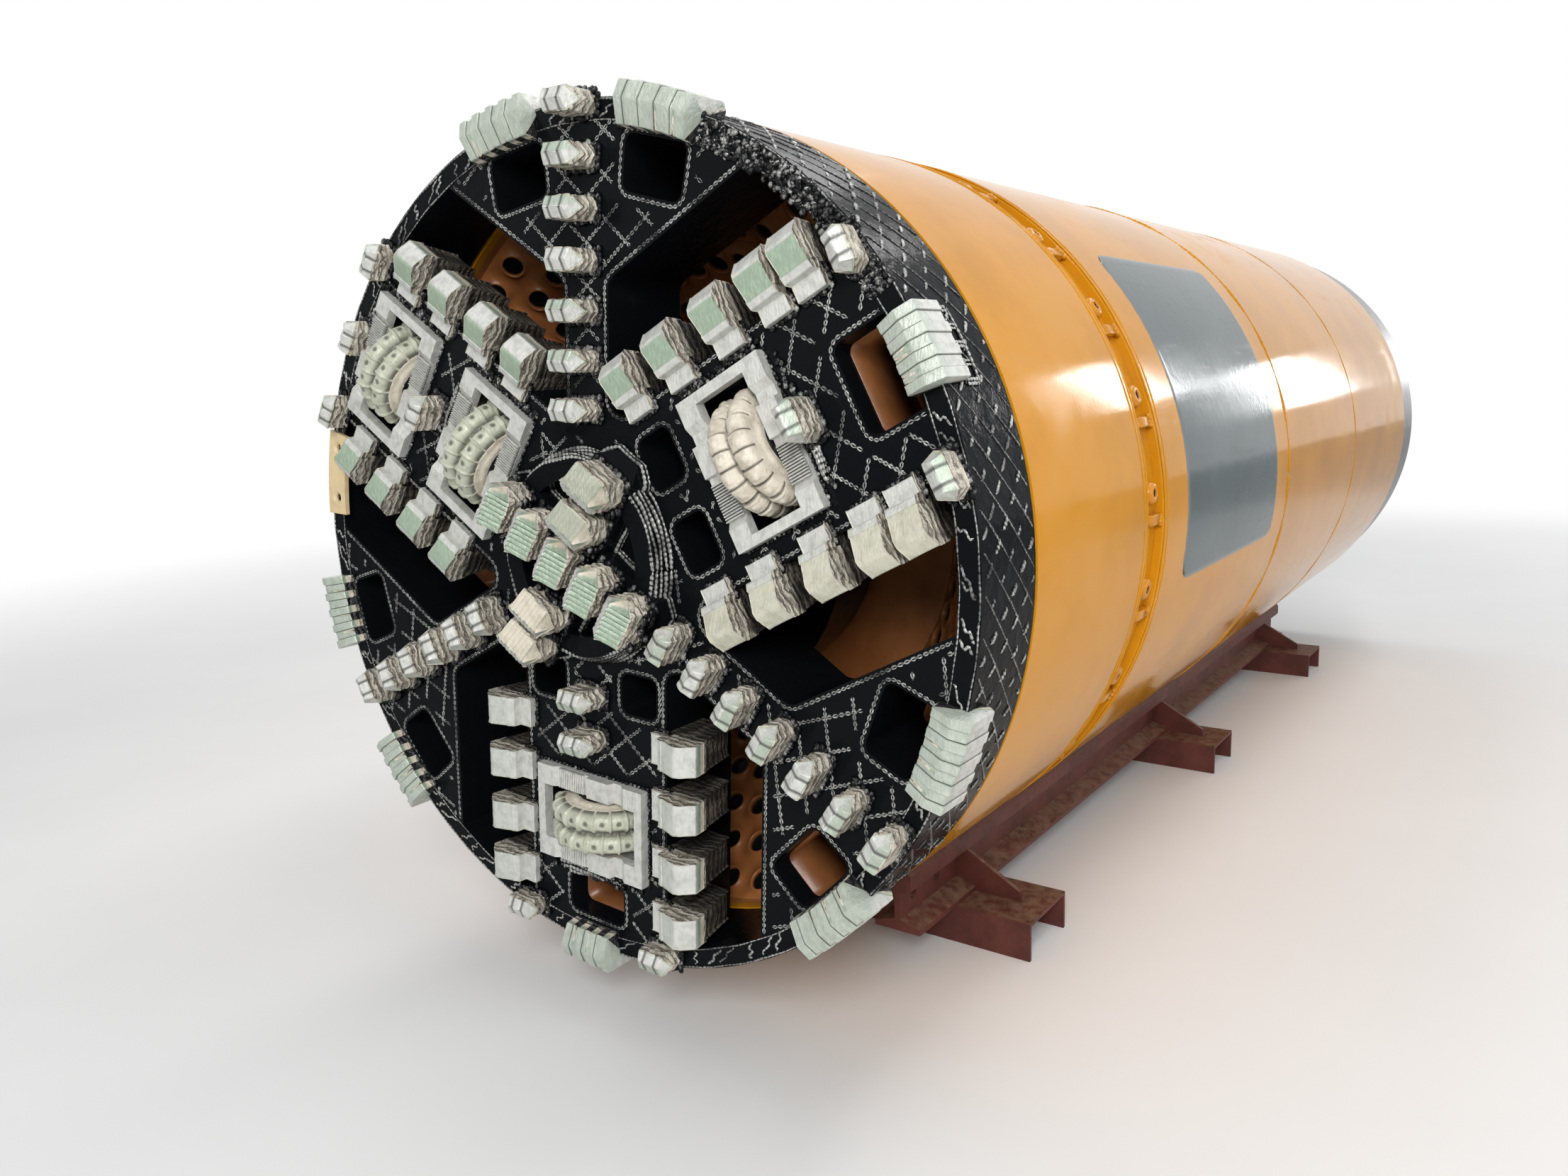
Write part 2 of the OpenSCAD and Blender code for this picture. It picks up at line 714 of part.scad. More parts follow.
// Two round rings on one hub, turning on the axle, each set with a row of buttons
module disc_cutter(d) {
    body_r = disc_r - button_h;
    ring = disc_pitch / 2;
    color("silver") on_head() at_arm(d[0], shield_r - d[1]) translate([disc_x, 0, 0]) rotate([90, 0, 0]) {
        rotate_extrude() polygon(concat([[axle_r + run_fit, -hub_half], [body_r - 38, -hub_half]],
            arc([body_r - disc_round, -ring], disc_round, -75, 145, 6),
            arc([body_r - disc_round, ring], disc_round, -70, 145, 6),
            [[body_r - 38, hub_half], [axle_r + run_fit, hub_half]]));
        for (side = [0, 1], k = [0:button_count - 1])
            rotate([0, 0, (k + side / 2) * 360 / button_count]) translate([body_r - 12, 0, (2 * side - 1) * ring])
                rotate([0, 90, 0]) cylinder(h = 12 + button_h, r = button_r, $fn = 24);
    }
}

module disc_cutter_a() { disc_cutter(DISCS[0]); }
module disc_cutter_b() { disc_cutter(DISCS[1]); }
module disc_cutter_c() { disc_cutter(DISCS[2]); }
module disc_cutter_d() { disc_cutter(DISCS[3]); }

// Front shield with the thin skirt over the joint
module front_shield() {
    color("#e08a10") on_axis() turned([[0, shield_r], [joint_x + edge_bevel, shield_r],
        [joint_x, shield_r - edge_bevel], [joint_x, inner_r + skirt_gap],
        [joint_x + skirt_len, inner_r + skirt_gap], [joint_x + skirt_len, front_in + seat], [0, front_in + seat]]);
}

// Perforated cone of the crushing chamber
module chamber_cone() {
    rear = cone_front + cone_len;
    tilt = atan(cone_drop / (cone_len - 20));
    color("#a8521c") on_axis() difference() {
        turned([[-cone_front, front_in], [-cone_front - 20, front_in], [-rear, front_in - cone_drop],
            [-rear, front_in - cone_drop - cone_t], [-cone_front, front_in - cone_t]]);
        for (row = [0:cone_rows - 1], k = [0:cone_holes - 1]) {
            share = (row + 0.7) / (cone_rows + 0.4);
            rotate([(k + row / 2) * 360 / cone_holes, 0, 0])
                translate([-cone_front - 20 - share * (cone_len - 20), 0, front_in - share * cone_drop])
                rotate([0, -tilt, 0]) cylinder(h = 6 * cone_t, r = cone_hole_r, center = true);
        }
    }
}

module front_bulkhead() {
    rear = cone_front + cone_len;
    color("#7d4a22") on_axis() along_x(-rear - bulkhead_t, -rear) difference() {
        circle(front_in);
        circle(shaft_r + seat);
    }
}

module main_drive() {
    wall = -cone_front - cone_len - bulkhead_t;
    color("#3d5f86") on_axis() turned([[-crusher_len - seat, 0], [-crusher_len - seat, shaft_r],
        [wall, shaft_r], [wall, drive_flange_r], [wall - drive_flange_l, drive_flange_r],
        [wall - drive_flange_l - 20, drive_r], [wall - drive_flange_l - drive_l, drive_r],
        [wall - drive_flange_l - drive_l, 0]]);
}

// Ring welded into the middle shield, its front end under the front shield's skirt
module inner_ring() {
    color("#d98a14") on_axis() turned([[mid_x - inner_root, shell_in], [mid_x + seat, shell_in],
        [mid_x + seat, inner_r], [joint_x + inner_reach, inner_r],
        [joint_x + inner_reach, inner_r - inner_t], [mid_x - inner_root, inner_r - inner_t]]);
}

module joint_bosses() {
    color("#d98a14") on_axis() for (k = [0:boss_count - 1])
        at_arm(boss_turn + k * 360 / boss_count, inner_r + seat) translate([boss_x, 0, 0]) rotate([-90, 0, 0])
            difference() {
                cylinder(h = boss_h, r = boss_r, $fn = 48);
                translate([0, 0, -1]) cylinder(h = boss_h + 2, r = boss_hole, $fn = 32);
            }
}

module joint_lugs() {
    front = boss_x + boss_r;
    color("#d98a14") on_axis() for (k = [0:boss_count - 1])
        at_arm(boss_turn + lug_turn + k * 360 / boss_count, inner_r + seat)
            linear_extrude(lug_w, center = true) polygon([[mid_x + 2 * seat, 0], [front, 0],
                [front, lug_h - 4], [front - 6, lug_h], [mid_x + 2 * seat, lug_h]]);
}

module middle_shield() {
    color("#e08a10") on_axis() turned([[rear_x, shield_r], [mid_x - edge_bevel, shield_r],
        [mid_x, shield_r - edge_bevel], [mid_x, shield_r - shell_t], [rear_x, shield_r - shell_t]]);
}

module rear_shield() {
    color("#e08a10") on_axis() tube_x(tail_x, rear_x, shield_r, shell_t);
}

module tail_shield() {
    color("#e08a10") on_axis() tube_x(ring_x, tail_x, shield_r, shell_t);
}

module tail_ring() {
    color("#b9bcbd") on_axis() tube_x(end_x, ring_x, shield_r - ring_step, ring_t);
}

module rear_partition() {
    color("#d9d3c2") on_axis() along_x(rear_x - partition_t / 2, rear_x + partition_t / 2) circle(shell_in);
}

wall_rear = rear_x - partition_t / 2;
walk_front = ring_x + 80;
flange_x = end_x + flange_inset;

module walkway() {
    half = sqrt(pow(shell_in, 2) - pow(walk_drop, 2)) - 2;
    color("#5b6066") on_axis() translate([walk_front, -half, -walk_drop])
        cube([wall_rear - walk_front, 2 * half, walk_t]);
}

// Slurry pipe from the partition to a flange in the tail
module slurry_pipe(side) {
    color("#6f8796") on_axis() translate([0, side * pipe_y, -pipe_drop]) {
        tube_x(flange_x, wall_rear, pipe_r, pipe_t);
        along_x(flange_x, flange_x + flange_t) difference() {
            circle(flange_r);
            circle(pipe_r - pipe_t);
            for (k = [0:flange_holes - 1]) rotate((k + 0.5) * 360 / flange_holes)
                translate([flange_pitch_r, 0]) circle(flange_hole_r);
        }
    }
}

module feed_pipe() { slurry_pipe(1); }
module discharge_pipe() { slurry_pipe(-1); }

// Oil tank on the walkway with the pump's motor on a foot
module hydraulic_unit() {
    motor_z = tank_h + motor_r + 20;
    color("#2f6ea8") on_axis() translate([tail_x - tank_l - 80, 0, walk_t - walk_drop]) {
        translate([0, -tank_w / 2, 0]) cube([tank_l, tank_w, tank_h]);
        translate([motor_r, 0, motor_z]) rotate([0, 90, 0]) cylinder(h = motor_l, r = motor_r);
        translate([motor_r + 80, -motor_r * 0.7, tank_h - 1]) cube([motor_l - 160, motor_r * 1.4, 60]);
    }
}

module electric_box() {
    color("#c9ccc6") on_axis() translate([wall_rear - electric_l, -electric_w / 2, 60])
        cube([electric_l, electric_w, electric_h]);
}

// Rail outline in Y and Z with the foot on the sleeper
module rail_outline() {
    foot_edge = 11;
    foot_mid = 27;
    head_low = rail_h - 42;
    translate([0, sleeper_top]) polygon([[-rail_foot_w / 2, 0], [rail_foot_w / 2, 0],
        [rail_foot_w / 2, foot_edge], [rail_web_t / 2, foot_mid], [rail_web_t / 2, head_low - 10],
        [rail_head_w / 2, head_low], [rail_head_w / 2, rail_h - 8], [rail_head_w / 2 - 8, rail_h],
        [-rail_head_w / 2, rail_h], [-rail_head_w / 2, head_low], [-rail_web_t / 2, head_low - 10],
        [-rail_web_t / 2, foot_mid], [-rail_foot_w / 2, foot_edge]]);
}

module rail() {
    x0 = -rail_front - rail_len;
    on_axis() {
        difference() {
            translate([0, rail_y, 0]) along_x(x0, -rail_front) rail_outline();
            for (k = [0, 1])
                translate([-rail_front - rail_hole_in - k * rail_hole_pitch, rail_y, sleeper_top + rail_hole_z])
                rotate([90, 0, 0]) cylinder(h = 60, r = rail_hole_r, center = true);
        }
        for (x = SLEEPERS) along_x(x - gusset_t / 2, x + gusset_t / 2)
            polygon([[rail_y + 5, sleeper_top + 20], [rail_y + rail_foot_w / 2 - 6, sleeper_top + 8],
                [rail_y + rail_foot_w / 2 - 6, sleeper_top], [gusset_y, sleeper_top],
                [gusset_y, sleeper_top + 22], [rail_y + rail_head_w / 2, sleeper_top + rail_h - 42],
                [rail_y + 5, sleeper_top + rail_h - 50]]);
    }
}

module rail_left() { color("#5c2f24") rail(); }
module rail_right() { color("#5c2f24") mirror([0, 1, 0]) rail(); }

// Channel with its open side down
module sleeper(x) {
    color("#5c2f24") on_axis() translate([x - sleeper_w / 2, -sleeper_half, sleeper_top - sleeper_h])
        difference() {
            cube([sleeper_w, 2 * sleeper_half, sleeper_h]);
            translate([sleeper_t, -1, -1])
                cube([sleeper_w - 2 * sleeper_t, 2 * sleeper_half + 2, sleeper_h - sleeper_t + 1]);
        }
}

module sleeper_front() { sleeper(SLEEPERS[0]); }
module sleeper_middle() { sleeper(SLEEPERS[1]); }
module sleeper_rear() { sleeper(SLEEPERS[2]); }

front_shield();
chamber_cone();
front_bulkhead();
main_drive();
inner_ring();
joint_bosses();
joint_lugs();
middle_shield();
rear_shield();
tail_shield();
tail_ring();
rear_partition();
walkway();
feed_pipe();
discharge_pipe();
hydraulic_unit();
electric_box();
rail_left();
rail_right();
sleeper_front();
sleeper_middle();
sleeper_rear();
head_face();
pick_arm_a();
pick_arm_b();
pick_arm_c();
disc_arm_a();
disc_arm_b();
disc_arm_c();
head_rim();
head_hub();
crusher();
picks_a();
picks_b();
picks_c();
scrapers_a();
scrapers_b();
scrapers_c();
arm_picks();
edge_picks();
gauge_scrapers();
centre_rippers();
wear_segment();
disc_frame_a();
disc_frame_b();
disc_frame_c();
disc_frame_d();
disc_cutter_a();
disc_cutter_b();
disc_cutter_c();
disc_cutter_d();
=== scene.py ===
"""Tunnel boring machine on its rail cradle: finishes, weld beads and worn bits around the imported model."""

import math

import bpy
import numpy as np
from mathutils import Matrix, Vector


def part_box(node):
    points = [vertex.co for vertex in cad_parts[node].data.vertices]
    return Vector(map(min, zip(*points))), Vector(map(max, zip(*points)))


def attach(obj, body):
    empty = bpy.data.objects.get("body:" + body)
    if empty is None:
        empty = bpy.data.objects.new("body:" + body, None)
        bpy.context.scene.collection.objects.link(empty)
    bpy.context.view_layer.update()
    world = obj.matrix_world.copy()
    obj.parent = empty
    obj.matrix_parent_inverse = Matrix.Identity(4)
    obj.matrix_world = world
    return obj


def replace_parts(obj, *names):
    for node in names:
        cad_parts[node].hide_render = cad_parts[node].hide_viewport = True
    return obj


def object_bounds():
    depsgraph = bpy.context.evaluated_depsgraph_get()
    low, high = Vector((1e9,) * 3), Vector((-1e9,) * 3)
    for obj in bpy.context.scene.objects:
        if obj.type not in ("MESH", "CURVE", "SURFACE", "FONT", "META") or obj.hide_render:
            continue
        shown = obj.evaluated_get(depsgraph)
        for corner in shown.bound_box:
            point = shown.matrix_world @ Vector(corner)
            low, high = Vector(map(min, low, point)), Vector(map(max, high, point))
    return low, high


bl_info = {
    "name": "Tunnel boring machine",
    "version": (1, 0, 0),
    "blender": (4, 5, 0),
    "location": "3D View > Sidebar > Boring machine",
    "description": "Dresses the packed tunnel boring machine with weld beads, hard facing and paint",
    "category": "Object",
}

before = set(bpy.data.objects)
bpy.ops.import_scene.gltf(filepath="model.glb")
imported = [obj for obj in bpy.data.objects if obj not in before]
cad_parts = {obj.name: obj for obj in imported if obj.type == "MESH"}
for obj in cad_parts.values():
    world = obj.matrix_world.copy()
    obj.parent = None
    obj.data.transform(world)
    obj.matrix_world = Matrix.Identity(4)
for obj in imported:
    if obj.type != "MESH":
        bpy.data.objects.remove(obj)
CAD_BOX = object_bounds()

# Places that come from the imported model, in metres, with low and high corners
RIM_LOW, RIM_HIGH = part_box("head_rim")
MIDDLE_LOW, MIDDLE_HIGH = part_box("middle_shield")
FRONT_LOW, FRONT_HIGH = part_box("front_shield")
REAR_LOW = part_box("rear_shield")[0]
CONE_LOW, CONE_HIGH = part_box("chamber_cone")
SHIELD_R = (MIDDLE_HIGH.z - MIDDLE_LOW.z) / 2
AXIS_Z = (MIDDLE_HIGH.z + MIDDLE_LOW.z) / 2
FACE_X = RIM_HIGH.x
HEAD_REAR = RIM_LOW.x
BEAM_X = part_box("head_hub")[1].x

# The cutterhead's layout, as in the construction: angles in degrees, lengths in metres. A gap is how far
# in from the shield's radius a thing stands.
HEAD_TURN = -3.4
PICK_ARMS = (90, 330, 210)
DISC_ARMS = (30, 150, 270)
# Half the width of each kind of arm, and the far edge of the openings beside a disc arm
PICK_ARM_W, DISC_ARM_W, OPENING_W = 0.056, 0.188, 0.413
RIM_T = 0.040
# Rows of picks: arm and gap of the first one; scrapers: gaps by arm
PICK_PITCH, PICK_MIN_R = 0.0885, 0.250
PICK_ROWS = ((90, 0.011), (330, 0.030), (210, 0.071))
SCRAPER_ROWS = {30: (0.136, 0.212, 0.320, 0.442, 0.556), 150: (0.152, 0.269, 0.389, 0.505),
                270: (0.130, 0.244, 0.361, 0.475)}
# Single picks: arm and gap; those at the edge share one gap and have their place round the head
ARM_PICKS = ((30, 0.243), (150, 0.322), (270, 0.544), (270, 0.456))
EDGE_PICKS = ((30, 0.190), (30, -0.190), (150, -0.189), (150, -0.010), (150, 0.175),
              (270, 0.185), (270, -0.185))
EDGE_PICK_IN = 0.049
# Scrapers on the rim: angle and length
GAUGE = ((76, 0.170), (104, 0.170), (316, 0.170), (344, 0.170), (196, 0.170), (224, 0.170),
         (30, 0.130), (270, 0.125))
# Centre rippers: angle of the beam, place along it and side of the narrow slope
RIPPERS = ((150, -0.176, 1), (150, -0.088, 1), (150, 0, 1), (150, 0.088, 1), (150, 0.176, 1),
           (60, 0.090, -1), (60, 0.172, -1), (240, 0.118, 1), (240, 0.192, 1))
# Disc cutters: arm and gap of each body
DISCS = {"disc_a": (30, 0.372), "disc_b": (150, 0.475), "disc_c": (150, 0.178), "disc_d": (270, 0.278)}
# Openings at the end of an arm: arm, gap of both ends and half the width; beside the hub: arm, place
# along and beside it, half the length and width; beside a pick arm: gap and place round of the corners
END_OPENINGS = ((30, 0.030, 0.154, 0.080), (270, 0.068, 0.150, 0.073))
HUB_OPENINGS = ((30, 0.256, 0.082, 0.040, 0.050), (270, 0.258, 0.120, 0.040, 0.044))
WEDGE_CORNERS = ((0.159, 0.094), (0.063, 0.104), (0.092, 0.243), (0.188, 0.225))
POCKET_L, POCKET_W = 0.2456, 0.194
# Radius of the seams, and the pitch and steps of the beads
SEAM_RADIUS, BEAD_PITCH, CHAIN_PITCH = 0.0042, 0.010, 0.0115
BEAD_STEP, HUB_STEP = 0.0034, BEAD_PITCH / 3.2


def link(name, data):
    """A new object of that data in the scene."""
    item = bpy.data.objects.new(name, data)
    bpy.context.scene.collection.objects.link(item)
    return item


class Value:
    """A shader socket; sums and products of values add their Math nodes."""

    def __init__(self, finish, socket):
        self.finish, self.socket = finish, socket

    def math(self, operation, *others):
        return self.finish.add("ShaderNodeMath", {"operation": operation}, [self, *others])

    def __add__(self, other):
        return self.math("ADD", other)

    def __sub__(self, other):
        return self.math("SUBTRACT", other)

    def __rsub__(self, other):
        return self.finish.add("ShaderNodeMath", {"operation": "SUBTRACT"}, [other, self])

    def __mul__(self, other):
        return self.math("MULTIPLY", other)

    def clamp(self):
        return self.finish.add("ShaderNodeClamp", {}, [self])

    def ramp(self, low, high):
        """0 below low, 1 above high, smooth between."""
        return self.finish.add("ShaderNodeMapRange", {"interpolation_type": "SMOOTHSTEP"},
                               [self, low, high, 0.0, 1.0])

    __radd__ = __add__
    __rmul__ = __mul__


class Finish:
    """One material: adds nodes and links them to the surface shader."""

    def __init__(self, name):
        self.material = bpy.data.materials.new(name)
        self.material.use_nodes = True
        self.tree = self.material.node_tree
        self.tree.nodes.clear()
        self.shader = self.tree.nodes.new("ShaderNodeBsdfPrincipled")
        self.output = self.tree.nodes.new("ShaderNodeOutputMaterial")
        self.tree.links.new(self.shader.outputs[0], self.output.inputs[0])

    def put(self, socket, value):
        if isinstance(value, Value):
            self.tree.links.new(value.socket, socket)
        elif isinstance(value, tuple) and len(value) == 3 and len(socket.default_value) == 4:
            socket.default_value = (*value, 1.0)
        else:
            socket.default_value = value

    def add(self, kind, settings, inputs, output=0):
        """A node of that type with its settings made first; inputs are a list, or a dict by name."""
        node = self.tree.nodes.new(kind)
        for key, value in settings.items():
            setattr(node, key, value)
        pairs = inputs.items() if isinstance(inputs, dict) else enumerate(inputs)
        for key, value in pairs:
            self.put(node.inputs[key], value)
        return Value(self, node.outputs[output])

    def place(self):
        return self.add("ShaderNodeTexCoord", {}, [], "Object")

    def axis(self, name):
        return self.add("ShaderNodeSeparateXYZ", {}, [self.place()], name)

    def stretched(self, scale):
        """Object coordinates scaled apart along the three axes."""
        return self.add("ShaderNodeMapping", {}, {"Vector": self.place(), "Scale": scale})

    def noise(self, scale, detail=4.0, rough=0.55, vector=None):
        return self.add("ShaderNodeTexNoise", {}, {"Vector": vector or self.place(), "Scale": scale,
                                                   "Detail": detail, "Roughness": rough}, "Fac")

    def cells(self, scale):
        return self.add("ShaderNodeTexVoronoi", {}, {"Vector": self.place(), "Scale": scale}, "Distance")

    def attribute(self, name):
        return self.add("ShaderNodeAttribute", {"attribute_name": name}, [], "Fac")

    def mix(self, factor, a, b):
        """Colour a where factor is 0, colour b where it is 1."""
        return self.add("ShaderNodeMix", {"data_type": "RGBA"}, {0: factor, 6: a, 7: b}, 2)

    def bump(self, height, distance, strength=1.0, normal=None):
        return self.add("ShaderNodeBump", {}, {"Height": height, "Distance": distance, "Strength": strength,
                                               **({"Normal": normal} if normal else {})})

    def surface(self, **inputs):
        names = {"color": "Base Color", "rough": "Roughness", "metal": "Metallic", "normal": "Normal",
                 "coat": "Coat Weight", "coat_rough": "Coat Roughness", "specular": "Specular IOR Level"}
        for key, value in inputs.items():
            self.put(self.shader.inputs[names[key]], value)
        return self.material


def darker(colour, share):
    """The colour darkened to that share."""
    return tuple(c * share for c in colour)


def shield_paint(colour, dust):
    """Gloss paint over rolled plate: long waves, fine orange peel, faint dust and rub marks."""
    f = Finish("shield_paint")
    waves = f.noise(2.6, 2.0, vector=f.stretched((0.5, 1.0, 1.0)))
    peel = f.noise(160.0, 2.0)
    streak = f.noise(9.0, 6.0, 0.7, f.stretched((0.25, 1.0, 2.2)))
    clouds = f.noise(3.2, 7.0, 0.62)
    scratch = f.noise(60.0, 3.0, 0.5, f.stretched((0.06, 1.0, 1.0))).ramp(0.66, 0.74)
    low = (0.42 - f.axis("Z")).ramp(0.0, 0.5)
    soil = (clouds.ramp(0.52, 0.75) * 0.5 + streak.ramp(0.56, 0.74) * 0.35 + low * 0.4) * dust
    paint = f.mix(clouds.ramp(0.3, 0.7), darker(colour, 0.80), colour)
    worn = f.mix((soil * 0.7 + scratch * 0.06).clamp(), paint, (0.43, 0.25, 0.08))
    normal = f.bump(peel, 0.00025, 0.35, f.bump(waves, 0.010, 0.30))
    return f.surface(color=worn, rough=(soil * 0.40 + 0.07 + streak * 0.06).clamp(), normal=normal,
                     coat=0.05, coat_rough=0.04, specular=0.12)


def joint_paint(colour):
    """The same paint in the joint, thicker and greasy with dark grime; the depth mark paints the blind holes
    of the bosses near black, as shade.
    """
    f = Finish("joint_paint")
    grime = f.noise(22.0, 6.0, 0.65).ramp(0.45, 0.72)
    drips = f.noise(30.0, 3.0, 0.6, f.stretched((1.0, 1.0, 0.3))).ramp(0.6, 0.75)
    paint = f.mix((grime * 0.4 + drips * 0.25).clamp(), colour, (0.22, 0.10, 0.02))
    # painted shade: the depth mark turns the bosses' holes near black
    deep_shade = f.mix(f.attribute("depth"), paint, (0.008, 0.006, 0.004))
    return f.surface(color=deep_shade, rough=grime * 0.25 + 0.18, normal=f.bump(f.noise(55.0), 0.0012, 0.6),
                     specular=0.3)


def black_gloss():
    """Thick gloss black over flame-cut plate: drips, welding spatter and a little dust."""
    f = Finish("black_gloss")
    lumps = f.noise(30.0, 5.0, 0.6)
    spatter = (1 - f.cells(120.0)).ramp(0.80, 0.97)
    dust = f.noise(14.0, 7.0, 0.68).ramp(0.60, 0.84)
    colour = f.mix(dust * 0.14, (0.0040, 0.0048, 0.0058), (0.034, 0.034, 0.033))
    normal = f.bump(spatter, 0.0012, 0.5, f.bump(lumps, 0.0030, 0.7))
    return f.surface(color=colour, rough=dust * 0.28 + 0.11 + lumps * 0.05, normal=normal, specular=0.025,
                     coat=0.05, coat_rough=0.07)


def bead_gloss():
    """Weld beads under the gloss black, with painted glints: the tops of the beads are painted near-white as
    a highlight, partly as steel rubbed bright.
    """
    f = Finish("bead_gloss")
    grain = f.noise(260.0, 3.0, 0.6)
    rub = f.noise(230.0, 4.0, 0.7)
    patch = f.noise(15.0, 4.0, 0.6).ramp(0.30, 0.60)
    # painted highlight: the colour turns bright steel on the tops of the beads and in rubbed patches, broken
    # by noise
    bright = (f.attribute("crest_rub_and_glint") * 0.8 + rub - 0.5).ramp(0.27, 0.72) * (patch * 0.85 + 0.10)
    colour = f.mix(bright, (0.0035, 0.0037, 0.0045), (0.52, 0.52, 0.49))
    return f.surface(color=colour, rough=bright * 0.16 + 0.13, metal=bright * 0.45, specular=0.16,
                     normal=f.bump(grain, 0.0014, 0.8))


def bit_silver(silver, green):
    """Silver paint over hard facing. Tone 0 is silver, 1 pale green, 2 cream, 3 the layered flanks of
    laid-on weld in cream and brown with painted shade in the creases between layers, 4 black, 5 the streaked
    dark body. The second attribute paints shade into the grooves and hollows of the bits, with a little dirt."""
    f = Finish("hard_facing")
    tone, dirt = f.attribute("tone"), f.attribute("dirt")
    wander = f.noise(19.0, 5.0, 0.65)
    height = f.axis("X") * 58.0 + wander * 3.6
    layer = (height - height.math("FLOOR") - 0.5).math("ABSOLUTE") * 2.0
    crease = layer.ramp(0.60, 1.0)
    stain = f.noise(34.0, 6.0, 0.68).ramp(0.42, 0.68)
    soot = f.noise(60.0, 5.0, 0.62)
    smear = f.noise(95.0, 4.0, 0.6, f.stretched((1.0, 2.4, 0.8)))
    base = f.mix(soot.ramp(0.40, 0.70), silver, darker(silver, 0.76))
    pale = f.mix(smear.ramp(0.45, 0.62), darker(green, 0.84), green)
    cream = f.mix(stain, (0.67, 0.61, 0.50), (0.48, 0.42, 0.33))
    strata = f.mix(stain * 0.85, (0.57, 0.525, 0.435), (0.235, 0.205, 0.165))
    streaks = f.noise(26.0, 5.0, 0.7, f.stretched((0.18, 1.0, 1.0))).ramp(0.42, 0.66)
    soil, black = (0.030, 0.027, 0.023), (0.011, 0.011, 0.012)
    body = f.mix(streaks, soil, (0.13, 0.112, 0.088))
    # painted shade: dark lines where the weld layers of the flanks meet
    strata_with_crease_shade = f.mix(crease * 0.85, strata, (0.040, 0.032, 0.024))
    colour = base
    for low, high, paint in ((0.3, 0.8, pale), (1.3, 1.7, cream), (2.3, 2.7, strata_with_crease_shade), (3.3, 3.7, black),
                             (4.3, 4.7, body)):
        colour = f.mix(tone.ramp(low, high), colour, paint)
    # painted shade: where the bits are marked in their grooves and hollows the colour goes to a near-black
    # brown; a little of it is dirt
    colour = f.mix(dirt.ramp(0.25, 0.95) * 0.88, colour, soil)
    flank = tone.ramp(2.2, 2.7)
    dents = f.bump(smear, 0.0030, 0.7, f.bump(soot, 0.0014, 0.5))
    normal = f.bump(layer * flank, 0.0045, 0.8, dents)
    metal = (1 - tone.ramp(1.2, 1.7)) * 0.25
    return f.surface(color=colour, rough=stain * 0.15 + 0.36 + flank * 0.06, metal=metal, normal=normal)


def chamber_paint():
    """Rust-brown gloss primer in the crushing chamber, run and smeared; the attribute depth paints shade: it
    blackens the walls of the holes and the cone seen through them, and darkens the linings of the openings."""
    f = Finish("chamber_paint")
    runs = f.noise(20.0, 5.0, 0.6, f.stretched((1.0, 1.0, 0.35)))
    patches = f.noise(7.0, 6.0, 0.65)
    colour = f.mix(patches.ramp(0.35, 0.7), (0.34, 0.120, 0.036), (0.50, 0.190, 0.062))
    dark = f.mix(runs.ramp(0.60, 0.80) * 0.7, colour, (0.12, 0.045, 0.018))
    # painted shade: the depth mark darkens towards near black
    deep_shade = f.mix(f.attribute("depth"), dark, (0.0025, 0.0045, 0.0040))
    return f.surface(color=deep_shade, rough=runs * 0.25 + 0.20, normal=f.bump(runs, 0.0022, 0.7), specular=0.4)


def turned_steel():
    """Bare turned ring: fine lathe marks round it, tarnish and light rust."""
    f = Finish("turned_steel")
    marks = f.noise(1.0, 2.0, 0.5, f.stretched((900.0, 3.0, 3.0)))
    rust = f.noise(11.0, 7.0, 0.7).ramp(0.55, 0.76)
    colour = f.mix(rust * 0.8, (0.27, 0.275, 0.28), (0.17, 0.10, 0.06))
    return f.surface(color=colour, rough=rust * 0.35 + 0.28 + marks * 0.12, metal=1 - rust * 0.8,
                     normal=f.bump(marks, 0.0003, 0.5))


def cradle_paint(colour):
    """Worn red-brown primer on rolled steel: scale, dust on what faces up, rust bleeding through."""
    f = Finish("cradle_paint")
    up = f.add("ShaderNodeSeparateXYZ", {}, [f.add("ShaderNodeNewGeometry", {}, [], "Normal")], "Z")
    scale = f.noise(42.0, 7.0, 0.66)
    patches = f.noise(9.0, 6.0, 0.62)
    scrape = f.noise(30.0, 4.0, 0.6, f.stretched((0.12, 1.0, 1.0))).ramp(0.60, 0.72)
    paint = f.mix(patches.ramp(0.35, 0.68), darker(colour, 0.62), colour)
    rusty = f.mix(scrape * 0.6, paint, (0.085, 0.036, 0.024))
    dusty = f.mix(up.ramp(0.5, 0.95) * scale.ramp(0.3, 0.65) * 0.6, rusty, (0.23, 0.155, 0.100))
    return f.surface(color=dusty, rough=scale * 0.35 + 0.38, normal=f.bump(scale, 0.0014, 0.7), specular=0.3)


def plain_paint(name, colour, wear, rough=0.38):
    """Brushed machine paint with chips that show primer and a little grime."""
    f = Finish(name)
    grime = f.noise(8.0, 7.0, 0.65)
    chips = f.noise(75.0, 3.0, 0.6).ramp(0.70, 0.73) * wear
    paint = f.mix(grime.ramp(0.4, 0.75), colour, darker(colour, 0.62))
    colour_out = f.mix(chips, paint, (0.16, 0.10, 0.07))
    return f.surface(color=colour_out, rough=grime * 0.2 + rough, normal=f.bump(f.noise(110.0), 0.0004, 0.4))


